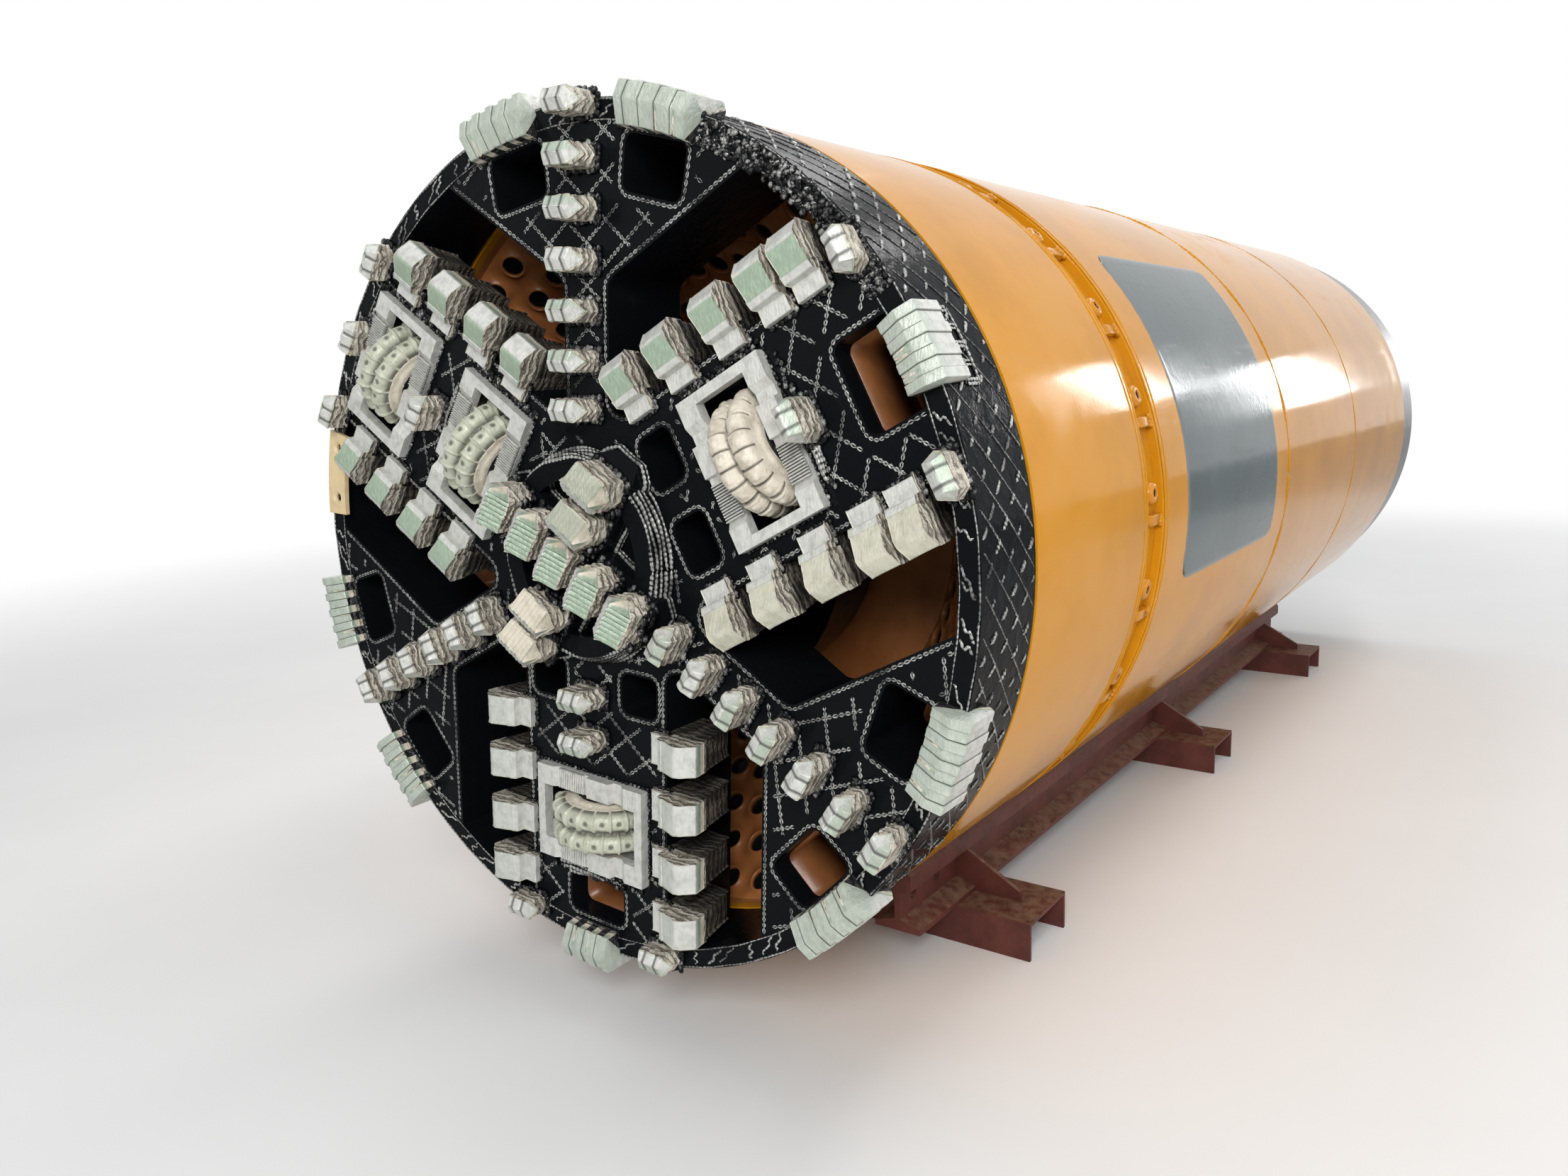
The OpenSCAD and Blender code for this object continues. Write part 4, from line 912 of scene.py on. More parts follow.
def lump_mesh(places, sizes):
    """Blobs of weld: the corners of a cube grid thrown on a ball, stretched and roughened."""
    rays, quads = cube_grid(2)
    ball = rays / np.linalg.norm(rays, axis=1)[:, None]
    wobble = 1 + 0.20 * ripple(ball[None] * 0.02 + places[:, None], 90)
    verts = places[:, None] + ball[None] * sizes[:, None] * wobble[..., None]
    faces = quads[None] + (np.arange(len(places)) * len(rays))[:, None, None]
    # painted glint: the side of each blob that faces out of the face is marked bright, by a random amount
    crest_rub_and_glint = np.clip(ball[:, 0], 0, 1)[None] * (0.20 + 0.65 * scatter(len(places), 4)[0])[:, None]
    return verts.reshape(-1, 3), faces.reshape(-1, 4), crest_rub_and_glint.ravel()


def scatter(count, seed):
    """Even-looking numbers from 0 to 1 without a random generator."""
    k = np.arange(count) + 1 + seed * 13.7
    return (np.sin(k * 12.9898) * 43758.5453) % 1.0, (np.sin(k * 78.233) * 24634.6345) % 1.0


def opening_liners(material):
    """Thin primer-brown linings of three small openings' walls, from 45 mm behind the face: four outlines
    and the first one again, joined into a closed sleeve."""
    parts = []
    for angle, outline, corner in opening_outlines():
        middle = outline.mean(0)
        lower = angle == 330 and middle[1] < 0
        if corner < 0.020 and np.hypot(*middle) > 0.40 and (angle in (30, 270) or lower):
            stack = np.stack([face_points(rounded_outline(outline, corner, -thick), angle, x)
                              for thick, x in ((0.0006, -0.045), (0.0020, -0.045), (0.0020, -0.194),
                                               (0.0006, -0.194), (0.0006, -0.045))])
            verts = stack.reshape(-1, 3)
            quads = outward(verts, grid_quads(5, stack.shape[1], True))
            # painted shade: the linings are marked to be darkened halfway to black
            parts.append((verts, quads, np.full(len(verts), 0.5)))
    joined_object("opening_liners", parts, material, "cutterhead", "depth")


def foot_welds(material):
    """Blobs round the foot of every bit; beside the centre rippers they are piled on one side."""
    parts = []

    def around(angle, s, t, half_s, half_t, x, count, seed, size, pile=0):
        u, v = scatter(count, seed)
        loop, _ = resampled(rounded_outline(rectangle(0, 0, half_s, half_t), 0.003, size * 0.35), 0.001, True)
        spot = loop[(np.arange(count) * len(loop) // count + (u * 4).astype(int)) % len(loop)]
        points = np.column_stack([np.full(count, x), spot + (np.column_stack([u, v]) - 0.5) * size * 0.5])
        if pile:
            side = pile * (half_s + size * (0.3 + 0.9 * u))
            heap = np.column_stack([x + v * 0.030, side, (2 * scatter(count, seed + 5)[0] - 1) * half_t])
            points = np.concatenate([points, heap])
        sizes = size * (0.65 + 0.5 * scatter(len(points), seed + 2)[1])[:, None] * [0.75, 1.0, 1.15]
        parts.append(lump_mesh(on_arm(points, angle, s, t), sizes))

    for k, (angle, s, t, _) in enumerate(pick_places()):
        around(angle, s, t, 0.019, 0.038, FACE_X + 0.003, 26, k, 0.0075)
    for k, (angle, s, side) in enumerate(RIPPERS):
        pile = side if angle == 60 else -side
        around(angle, s, 0.0, 0.030, 0.044, BEAM_X + 0.002, 24, k + 90, 0.0085, pile)
    for k, (angle, s, flip) in enumerate(scraper_places()):
        around(angle, s, flip * (DISC_ARM_W - 0.008), 0.029, 0.017, FACE_X + 0.001, 20, k + 201, 0.0065)
    for k, (angle, gap) in enumerate(DISCS.values()):
        s = SHIELD_R - gap
        around(angle, s, 0.0, 0.099, 0.1415, FACE_X + 0.001, 90, k + 300, 0.0050)
        for row in range(3):
            t = np.linspace(-0.104 + 0.013 * row, 0.050 - 0.022 * row, 60)
            line = np.column_stack([np.full(60, FACE_X + 0.002 + 0.002 * (row == 1)),
                                    0.1115 + 0.0068 * row + 0.0014 * np.sin(t * 95 + row * 2 + k), t])
            parts.append(bead(on_arm(line, angle, s), (1, 0, 0), 0.0050, BEAD_PITCH, 6, k + row, BEAD_STEP))
        u, v = scatter(170, k + 41)
        outer = np.column_stack([FACE_X + v * 0.004, 0.110 + 0.016 * v, (2 * u - 1) * 0.125])[:46]
        ends = np.column_stack([FACE_X + u * 0.004, (2 * u - 1) * 0.100, -0.1475 - 0.014 * v])
        ends = ends[110 if k == 0 else 60:] * [1, 1, -1 if angle == 30 else 1]
        heap = np.concatenate([outer, ends])
        sizes = (0.0032 + 0.0032 * scatter(len(heap), k + 7)[0])[:, None] * [0.8, 1.0, 1.2]
        parts.append(lump_mesh(on_arm(heap, angle, s), sizes))
    return joined_object("bit_foot_welds", parts, material)


def hub_welds(material, radius):
    """Stacked rings of bead outside the hub ring, and short runs where the beams stand on the face."""
    low, high = 0.190, 0.205
    parts = []
    for k in range(5):
        share = k / 4
        ring = circle(high * (1 - share) + low * share, 700)
        parts.append(bead(face_points(ring, 0, 0.002 + 0.034 * share), (1, 0, 0), radius, BEAD_PITCH, 7,
                          k * 1.7, HUB_STEP))
    corner = np.array([(0.204, 0.054), (0.228, 0.030)])
    half = np.concatenate([corner[::-1] * [-1, -1], corner * [1, -1]])
    beam = rounded_outline(np.concatenate([half, -half]), 0.004, 0.003)
    for angle in (150, 60):
        for lift in (0.002, 0.010):
            path, _ = resampled(beam * (1.004 - lift * 0.5), 0.003, True)
            parts.append(bead(face_points(path, angle, lift), (1, 0, 0), radius, BEAD_PITCH, 7, angle,
                              HUB_STEP))
    return joined_object("hub_welds", parts, material)


def gauge_set(material):
    """Toothed blocks round the rim: an outline of X and radius carried along an arc. Every second tooth
    stands 3 mm higher, with a sharp step between."""
    section = [(0.0, -0.052), (0.033, -0.048), (0.047, -0.006), (0.036, 0.0245), (-0.044, 0.0245),
               (-0.056, 0.010), (-0.056, 0.0005), (0.0, 0.0005)]
    outline = bevelled(section, 0.0015)
    tight = bevelled([(x * 0.93, r * 0.93 - 0.0006) for x, r in section], 0.0015)
    low = outline - 0.0030 * (outline > [0.02, 0.005])
    parts = []
    for k, (angle, length) in enumerate(GAUGE):
        teeth = 2 * round(length / 0.048) + 1
        rows = [(-0.5, tight, 0.0)]
        for tooth in range(teeth):
            ring = low if tooth % 2 else outline
            for place in (0.07, 0.35, 0.65, 0.93):
                push = 0.0006 * math.sin(tooth * 5 + place * 9 + k)
                rows.append(((tooth + place) / teeth - 0.5, ring + [push, 0.0], 0.0))
            if tooth < teeth - 1:
                # painted shade: a dark ring sunk in the step between two teeth
                rows.append(((tooth + 1) / teeth - 0.5, low * 0.985, 1.0))
        shares, rings, shade_and_dirt_rings = zip(*rows, (0.5, tight, 0.0))
        rings = np.stack(rings)
        a = math.radians(angle + HEAD_TURN) + np.array(shares) * length / (SHIELD_R + 0.025)
        verts, quads = skin(placed(FACE_X + rings[..., 0], SHIELD_R + rings[..., 1], 0.0, a[:, None]))
        x, out = np.concatenate([rings[:1], rings, rings[-1:]]).reshape(-1, 2).T
        tone = np.where(x > 0.030, 0.55, np.where(out > 0.018, 0.0, 4.0))
        parts.append((verts, quads, np.column_stack([tone, np.repeat([0.0, *shade_and_dirt_rings, 0.0], len(outline))])))
    piece = bit_object("gauge_scraper_set", parts, material)
    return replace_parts(piece, "gauge_scrapers")


def disc_ring(name, node, material, buttons):
    """Two rings turned round the axle, cut into cells: u runs across a cell round the ring and v over its
    width. Each cell leans a little over the next one. On disc_a it carries a round button, with a lip beside
    each crease and a notch where the crease meets the ring's shoulder; on the others a rib parts the cells
    and each has a round hollow."""
    angle, gap = DISCS[name]
    disc_r, cell_r, row_w = 0.115, 0.111, 0.0235
    half = [(0.028, 0.050), (0.070, 0.050), (0.076, 0.0455), (0.088, 0.0440), (0.099, 0.0425),
            (0.106, 0.0385), (0.1095, 0.033), (0.111, 0.024), (0.1095, 0.014), (0.106, 0.008), (0.100, 0.004)]
    profile = [(r, -w) for r, w in half] + [(0.0985, 0.0)] + half[::-1]
    line, _ = resampled(profile, 0.0038)
    turn = np.linspace(0, 2 * math.pi, 16 * buttons, endpoint=False)[None]
    r, w = line[:, :1], line[:, 1:]
    cell = turn * buttons / (2 * math.pi) - np.where(w > 0, 0.5, 0.0)
    lean = cell - np.round(cell)
    u, v = np.abs(lean), np.clip((np.abs(w) - row_w) / 0.019, -1, 1)
    here = (np.abs(w) < 0.0435) & (r > 0.082)
    d = np.hypot(u * 2 * math.pi * cell_r / buttons, np.abs(w) - row_w) / 0.0078
    button = 1 - np.clip(d, 0, 1) ** 4

    def line_at(place, width):
        return np.exp(-((0.5 - u - place) / width) ** 2) * here

    # painted shade: the darkening of the creases, the buttons' hollows and the valley between the rings
    valley = np.exp(-(w / 0.0045) ** 2)
    if name == "disc_a":
        crease = line_at(0, 0.080)
        out = button * 0.0021 - np.exp(-((d - 1.25) / 0.22) ** 2) * 0.0006 \
            - crease * (0.0046 + 0.0030 * np.abs(v) ** 3) + line_at(0.115, 0.040) * 0.0010 - 0.0012
        groove_shade = np.maximum(np.maximum(crease, valley * 0.8), (d > 1.1) * (d < 1.45) * here * 0.35)
    else:
        rib = line_at(0, 0.060)
        out = rib * 0.0050 - button * 0.0026 - (1 - rib) * np.abs(v) ** 3 * 0.0055 - 0.0014
        groove_shade = np.maximum(button * 0.80 + (1 - rib) * np.abs(v) ** 4 * 0.8, valley * 0.85) * here
    out = out + lean * 0.0034 + 0.0010 * np.sin(np.round(cell) * 2.4 + np.sign(w))
    place = np.stack(np.broadcast_arrays(r, w, turn * 0.1), -1)
    out = out * here + 0.0009 * ripple(place, 150) + 0.0005 * ripple(place, 390, 2.0)
    rough = np.minimum(r + out * (r > 0.076), disc_r)
    verts = placed(FACE_X + 0.077 - disc_r + rough * np.cos(turn), SHIELD_R - gap + w, rough * np.sin(turn),
                   math.radians(angle + HEAD_TURN))
    side = np.broadcast_to(np.abs(w) > 0.0430, rough.shape)
    tone = np.where(rough < 0.060, 4.0, np.where(side, 2.0, 2.0 if name == "disc_a" else 1.5))
    # painted shade: the sides of the rings are darkened by a third
    dirt = np.clip(np.maximum(groove_shade, side * 0.35), 0, 1)
    piece = mesh_object(name + "_rings", verts, grid_quads(*rough.shape, True), material, name,
                        {"tone": tone, "dirt": dirt})
    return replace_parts(piece, node)


def frame_ribs(material):
    """Fourteen low ribs on each long bar of a disc frame."""
    parts = []
    for angle, gap in DISCS.values():
        for middle in (-0.078, 0.078):
            for k in range(14):
                t = -0.084 + k * 0.0051
                section = [(0.011, t), (0.011, t + 0.0036), (0.0195, t + 0.0030), (0.0205, t + 0.0008)]
                verts, quads, _ = bar(section, middle - 0.020, middle + 0.020, 0.0004, k)
                # painted shade: the foot of each rib, where it meets the frame, is marked dark
                parts.append((on_arm(verts + [FACE_X, 0, 0], angle, SHIELD_R - gap), quads,
                              np.column_stack([np.full(len(verts), 0.1), verts[:, 0] < 0.014])))
    return bit_object("disc_frame_ribs", parts, material)


def chamber(material, rows, holes, radius):
    """Perforated cone: one square cell with a round hole, its collar raised, laid in shifted rows.
    A cell's rim runs round the square; its rings move in to the circle, rise and go down the hole."""
    x0, x1 = CONE_HIGH.x - 0.020, CONE_LOW.x
    r0 = (CONE_HIGH.z - CONE_LOW.z) / 2 - 0.0005
    r1 = r0 - 0.300
    slope = math.hypot(x0 - x1, r0 - r1)
    steps, one = np.linspace(-1, 1, 7)[:-1], np.ones(6)
    square = np.concatenate([np.column_stack(side) for side in ((steps, -one), (one, steps), (-steps, one),
                                                                (-one, -steps))])
    hole = square / np.linalg.norm(square, axis=1)[:, None] * radius
    around = len(square)
    levels = ((1.36, 0.0), (1.26, 0.0050), (1.08, 0.0056), (1.0, 0.003), (0.98, -0.009), (0.97, -0.020))
    lift = np.array([0.0, *(rise for _, rise in levels)])[:, None]
    cell = grid_quads(len(lift), around, True)[:, ::-1]
    parts = []
    for row in range(rows):
        middle = (row + 0.5) / rows
        wide = math.pi * (r0 + (r1 - r0) * middle) / holes
        plane = np.stack([square * [wide, slope / rows / 2], *(hole * grow for grow, _ in levels)])
        k = np.arange(holes)[:, None, None] + 0.5 * (row % 2)
        share = middle + plane[..., 1] / slope
        angle = 2 * math.pi * (k / holes) + plane[..., 0] / wide * math.pi / holes
        verts = placed(x0 + (x1 - x0) * share + lift * (r0 - r1) / slope,
                       r0 + (r1 - r0) * share - lift * (x0 - x1) / slope, 0.0, angle).reshape(-1, 3)
        quads = (cell + (np.arange(holes) * lift.size * around)[:, None, None]).reshape(-1, 4)
        # painted shade: the two lowest rings, down each hole, are marked to be painted near black
        parts.append((verts, quads, np.tile(np.repeat([0, 0, 0, 0, 0, 1, 1], around), holes)))
    count = 180
    turn = np.linspace(0, 2 * math.pi, count, endpoint=False)
    front, back = [(CONE_HIGH.x, r0), (x0, r0)], [(x0, r0 + 0.0004), (x1, r1 + 0.020), (x1, r1)]
    # painted shade: the cone behind the cells, seen through the holes, is marked to be painted near black;
    # the front band keeps the primer
    for depth, line in enumerate((front, back)):
        x, r = np.array(line).T[..., None]
        verts = placed(x, r, 0.0, turn).reshape(-1, 3)
        parts.append((verts, grid_quads(len(line), count, True)[:, ::-1], np.full(len(verts), depth)))
    piece = joined_object("chamber_lining", parts, material, "front_can", "depth")
    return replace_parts(piece, "chamber_cone")


def shield_welds(material, radius):
    """Low rings of weld where the cans are joined, wandering slightly, and the turned edges of the joint:
    place along the machine, size and how far sunk."""
    turn = np.linspace(0, 2 * math.pi, 720)
    up = radial(turn)
    rings = {"machine": ((REAR_LOW.x, 0.8, 0.30), (MIDDLE_LOW.x, 1.5, 0.30),
                         (MIDDLE_HIGH.x - 0.022, 0.55, 0.0), (MIDDLE_HIGH.x - 0.004, 0.7, 0.1)),
             "front_can": ((FRONT_LOW.x + 0.020, 0.55, 0.0), (FRONT_LOW.x + 0.003, 0.6, 0.1))}
    for body, places in rings.items():
        parts = []
        for x, size, sunk in places:
            wander = size * (0.0004 * np.sin(turn * 41) + 0.0003 * np.sin(turn * 97))
            path = placed(x + wander, SHIELD_R - radius * size * sunk, 0.0, turn)
            parts.append(bead(path, up, radius * size, 0.012, 6, x))
        joined_object("seam_welds_" + body, parts, material, body)


def panel(material, x_front, x_rear, low, high, corner):
    """Thin film on the shield: a rounded rectangle in length and arc, bent round the can, with an edge."""
    u, v = np.meshgrid(np.linspace(-1, 1, 96), np.linspace(-1, 1, 72), indexing="ij")
    r = SHIELD_R + 0.0012
    half_x, half_a = (x_front - x_rear) / 2, (high - low) / 2 * r
    inner_x, inner_a = half_x - corner, half_a - corner
    px, pa = u * half_x, v * half_a
    dx, da = np.abs(px) - inner_x, np.abs(pa) - inner_a
    both = (dx > 0) & (da > 0)
    far = np.hypot(dx, da) + 1e-9
    grip = np.where(both & (far > corner), corner / far, 1.0)
    px = np.where(both, np.sign(px) * (inner_x + dx * grip), px)
    pa = np.where(both, np.sign(pa) * (inner_a + da * grip), pa)
    edge_gap = np.minimum(half_x - np.abs(px), half_a - np.abs(pa))
    a = (low + high) / 2 + pa / r
    lift = np.where((np.abs(u) == 1) | (np.abs(v) == 1), -0.0011, 0.0)
    verts = placed((x_front + x_rear) / 2 + px, r + lift, 0.0, a)
    edge = np.clip(1 - edge_gap / 0.012, 0, 1)
    return mesh_object("side_panel", verts, grid_quads(*u.shape)[:, ::-1], material, "machine",
                       {"edge": edge})


def paint(material, *names):
    """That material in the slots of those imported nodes."""
    for name in names:
        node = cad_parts[name]
        if not node.material_slots:
            node.data.materials.append(material)
        for place in node.material_slots:
            place.material = material


def stage_floor(material, size):
    """One wide sheet just under the lowest point of the object."""
    line = np.linspace(-size, size, 24)
    u, v = np.meshgrid(line, line, indexing="ij")
    verts = np.stack([u, v, np.full_like(u, CAD_BOX[0][2] - 0.0005)], -1).reshape(-1, 3)
    mesh = bpy.data.meshes.new("floor")
    mesh.from_pydata(verts.tolist(), [], grid_quads(*u.shape).tolist())
    mesh.materials.append(material)
    link("floor", mesh)


def soft_light(name, place, target, width, height, power):
    """A large rectangular lamp that looks at the target."""
    lamp = bpy.data.lights.new(name, "AREA")
    lamp.shape = "RECTANGLE"
    lamp.size, lamp.size_y, lamp.energy = width, height, power
    light = link(name, lamp)
    light.visible_camera = False
    away = Vector(place) - Vector(target)
    light.matrix_world = Matrix.Translation(place) @ away.to_track_quat("Z", "Y").to_matrix().to_4x4()


def world_light(grey, strength):
    """Pale world that lights softly and shows white behind the object."""
    world = bpy.data.worlds.new("studio")
    world.use_nodes = True
    tree = world.node_tree
    tree.nodes.clear()
    output = tree.nodes.new("ShaderNodeOutputWorld")
    rays = tree.nodes.new("ShaderNodeLightPath")
    mixer = tree.nodes.new("ShaderNodeMixShader")
    for slot, colour, power in ((1, grey, strength), (2, (1.0, 1.0, 1.0), 1.0)):
        back = tree.nodes.new("ShaderNodeBackground")
        back.inputs[0].default_value = (*colour, 1.0)
        back.inputs[1].default_value = power
        tree.links.new(back.outputs[0], mixer.inputs[slot])
    seen = rays.outputs["Is Camera Ray"]
    for other in ("Is Glossy Ray", "Is Transmission Ray"):
        either = tree.nodes.new("ShaderNodeMath")
        either.operation = "MAXIMUM"
        tree.links.new(seen, either.inputs[0])
        tree.links.new(rays.outputs[other], either.inputs[1])
        seen = either.outputs[0]
    tree.links.new(seen, mixer.inputs[0])
    tree.links.new(mixer.outputs[0], output.inputs[0])
    bpy.context.scene.world = world


def photo_camera(place, yaw, pitch, roll, lens):
    """Camera at the photograph's place, looking along yaw and pitch with that roll."""
    ahead = Vector((math.cos(pitch) * math.cos(yaw), math.cos(pitch) * math.sin(yaw), math.sin(pitch)))
    right = ahead.cross(Vector((0, 0, 1))).normalized()
    up = right.cross(ahead)
    side = right * math.cos(roll) + up * math.sin(roll)
    top = up * math.cos(roll) - right * math.sin(roll)
    data = bpy.data.cameras.new("photo_camera")
    data.lens, data.sensor_width, data.clip_end = lens, 36.0, 100.0
    camera = link("photo_camera", data)
    camera.matrix_world = Matrix.Translation(place) @ Matrix((side, top, -ahead)).transposed().to_4x4()
    bpy.context.scene.camera = camera


def joint_set(material, boss, lug):
    """Domed bosses turned about the way out from the axis, each with a blind hole, and beside each a flat
    lug with bevelled edges and a heap of weld at its rear end."""
    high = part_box("joint_bosses")[1]
    front, rear = high.x, MIDDLE_HIGH.x
    inner = SHIELD_R - 0.0203
    count = 36
    turn = np.linspace(0, 2 * math.pi, count, endpoint=False)
    profile = np.array([(0.0, 1.0), (0.007, 0.99), (0.0125, 0.90), (0.0158, 0.72), (0.0165, 0.52),
                        (0.0160, 0.40), (0.012, 0.36), (0.003, 0.34), (0.002, 0.0005 / boss)]) * [1, boss]
    rise, wide = profile.T[..., None]
    # painted shade: the three rings down each boss's hole are marked to be painted near black
    dark = np.repeat([0, 0, 0, 0, 0, 0, 1, 1, 1], count)
    quads_boss = grid_quads(len(profile), count, True)
    start = rear + 0.001
    section = [(start, 0.0), (front, 0.0), (front, 0.010), (front - 0.006, 0.0155), (start, 0.0155)]
    parts = []
    for k in range(25):
        a = math.radians(4.5 + k * 360 / 25)
        verts = placed(front - boss + wide * np.cos(turn), inner + rise, wide * np.sin(turn), a)
        parts.append((verts.reshape(-1, 3), quads_boss, dark))
        a -= math.radians(4)
        verts, quads, _ = bar(section, -lug / 2, lug / 2, 0.0012, k)
        x, round_, out = verts.T
        verts = placed(x, inner + out, round_, a)
        parts.append((verts, outward(verts - verts.mean(0), quads), np.zeros(len(verts))))
        u, v = scatter(9, k)
        spots = placed(rear + 0.004 + 0.012 * u, inner + 0.010 + 0.006 * u, (v - 0.5) * lug * 1.1, a)
        verts, quads, tone = lump_mesh(spots, np.full((9, 3), 0.0055))
        parts.append((verts, quads, tone * 0))
    piece = joined_object("joint_fittings", parts, material, "machine", "depth")
    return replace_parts(piece, "joint_bosses", "joint_lugs")


def block(low, high, bevel):
    """Rounded block between two corners: the cube grid held inside by the bevel, then pushed out by it."""
    low, high = np.asarray(low, float), np.asarray(high, float)
    half = (high - low) / 2
    rays, quads = cube_grid(4)
    size = np.abs(rays)
    far = np.where(size > 0.75, half, np.where(size > 0.25, half - bevel, 0.0)) * np.sign(rays)
    inner = np.clip(far, bevel - half, half - bevel)
    out = far - inner
    out *= bevel / np.linalg.norm(out, axis=1)[:, None]
    return inner + out + (low + high) / 2, outward(rays, quads)


def across(axis):
    """Two directions square to an axis and to each other."""
    side = np.cross(axis, [0.3, 0.5, 0.8])
    side /= np.linalg.norm(side)
    return side, np.cross(axis, side)


def turned(profile, centre, axis, count=28, loop=False):
    """A profile of distance along the axis and radius, turned about it; a loop closes on itself, anything
    else on the axis."""
    side, other = across(axis)
    a = np.linspace(0, 2 * math.pi, count, endpoint=False)[:, None]
    profile = np.asarray(profile, float)
    rings = np.asarray(centre) + profile[:, :1, None] * np.asarray(axis, float) \
        + profile[:, 1:, None] * (np.cos(a) * side + np.sin(a) * other)
    if not loop:
        return skin(rings)
    rings = np.concatenate([rings, rings[:1]])
    verts = rings.reshape(-1, 3)
    return verts, outward(verts - rings.mean((0, 1)), grid_quads(len(rings), count, True))


def plain_piece(name, parts, material):
    """One piece of the machine body from parts that carry no marks."""
    verts, faces, _ = joined([(v, q, np.zeros(len(v))) for v, q in parts])
    return mesh_object(name, verts, faces, material, "machine")


def bolts(centre, axis, radius, count, size):
    """A circle of hexagonal heads about an axis."""
    side, other = across(axis)
    head = [(-0.002, size), (size * 0.55, size), (size * 0.7, size * 0.86)]
    turns = [2 * math.pi * (k + 0.5) / count for k in range(count)]
    return [turned(head, np.asarray(centre) + radius * (side * math.cos(t) + other * math.sin(t)), axis, 6)
            for t in turns]


def cabinet_trim(coat, dark):
    """Two doors with hinges, handles, lamps, a dial and a blank plate on the electric box."""
    low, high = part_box("electric_box")
    x, mid = low.x, (low.z + high.z) / 2
    back, rise = (-1, 0, 0), (0, 0, 1)
    stud = [(0.0, 0.006), (0.022, 0.006)]
    hinge = [(-0.022, 0.006), (-0.020, 0.007), (0.020, 0.007), (0.022, 0.006)]
    lamp = [(0.0, 0.015), (0.005, 0.015), (0.006, 0.011), (0.014, 0.010), (0.017, 0.006)]
    dial = [(0.0, 0.048), (0.010, 0.048), (0.012, 0.044), (0.008, 0.040)]
    doors, fittings = [], []
    for side in (-1, 1):
        y0, y1 = sorted((side * 0.003, side * (high.y - 0.005)))
        doors.append(block((x - 0.016, y0, low.z + 0.014), (x + 0.003, y1, high.z - 0.014), 0.004))
        y = side * 0.040
        fittings.append(block((x - 0.040, y - 0.007, mid - 0.055), (x - 0.030, y + 0.007, mid + 0.055),
                              0.003))
        fittings += [turned(stud, (x - 0.015, y, mid + z), back, 12) for z in (-0.045, 0.045)]
        fittings += [turned(hinge, (x - 0.012, side * (high.y - 0.003), z), rise, 12)
                     for z in (low.z + 0.07, mid, high.z - 0.07)]
    fittings += [turned(lamp, (x - 0.016, 0.13 + 0.045 * k, mid + z), back, 20)
                 for k in range(4) for z in (0.165, 0.115)]
    fittings.append(turned(dial, (x - 0.016, -0.19, mid + 0.12), back))
    fittings.append(block((x - 0.019, 0.12, mid - 0.12), (x - 0.014, 0.28, mid - 0.04), 0.002))
    plain_piece("cabinet_doors", doors, coat)
    plain_piece("cabinet_fittings", fittings, dark)


def power_trim(coat, dark):
    """Lid, cover, filler and gauge of the oil tank; fins, cowl, terminal box and coupling of its motor."""
    low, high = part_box("hydraulic_unit")
    motor_r = 0.120
    axis_z = high.z - motor_r
    top, start = low.z + 0.260, low.x + motor_r
    back, rise = (-1, 0, 0), (0, 0, 1)
    cowl = [(-0.075, 0.1215), (-0.073, 0.1245), (0.010, 0.1245), (0.020, 0.117), (0.022, 0.098),
            (0.012, 0.094), (0.011, 0.020)]
    coupling = [(-0.01, 0.075), (0.030, 0.070), (0.034, 0.055), (0.085, 0.052), (0.088, 0.046)]
    filler = [(0.0, 0.034), (0.022, 0.034), (0.024, 0.040), (0.040, 0.040), (0.044, 0.034)]
    lip = 0.007
    painted = [block((low.x - lip, low.y - lip, top - 0.004), (high.x + lip, high.y + lip, top + lip), 0.003),
               block((start + 0.15, 0.100, axis_z - 0.040), (start + 0.27, 0.168, axis_z + 0.045), 0.006),
               turned(cowl, (start, 0, axis_z), back, 48),
               turned(coupling, (start + 0.380, 0, axis_z), (1, 0, 0))]
    fin, quads = block((start + 0.085, -0.0022, motor_r - 0.002), (start + 0.355, 0.0022, motor_r + 0.013),
                       0.001)
    x, round_, out = fin.T
    painted += [(placed(x, out, round_, math.pi / 2 - a) * [1, -1, 1] + [0, 0, axis_z - AXIS_Z], quads)
                for a in np.radians(np.arange(-130, 131, 10))]
    cover = (low.x, 0.09, low.z + 0.125)
    fittings = [turned([(0.0, 0.085), (0.010, 0.085), (0.012, 0.082)], cover, back, 40),
                turned(filler, (low.x + 0.060, -0.17, top + 0.006), rise),
                block((low.x - 0.012, -0.185, low.z + 0.05), (low.x + 0.002, -0.155, low.z + 0.20), 0.004),
                *bolts(np.add(cover, (-0.010, 0, 0)), back, 0.070, 8, 0.008)]
    for r in (0.035, 0.055, 0.075):
        wire = [(0.012, r - 0.003), (0.018, r), (0.012, r + 0.003)]
        fittings.append(turned(wire, (start, 0, axis_z), back, 40, True))
    screw = [(0.0, 0.008), (0.005, 0.008), (0.006, 0.0065)]
    fittings += [turned(screw, (x, y, top + 0.006), rise, 6)
                 for x in np.linspace(low.x + 0.012, high.x - 0.012, 7)
                 for y in (low.y + 0.012, high.y - 0.012)]
    plain_piece("power_unit_trim", painted, coat)
    plain_piece("power_unit_fittings", fittings, dark)


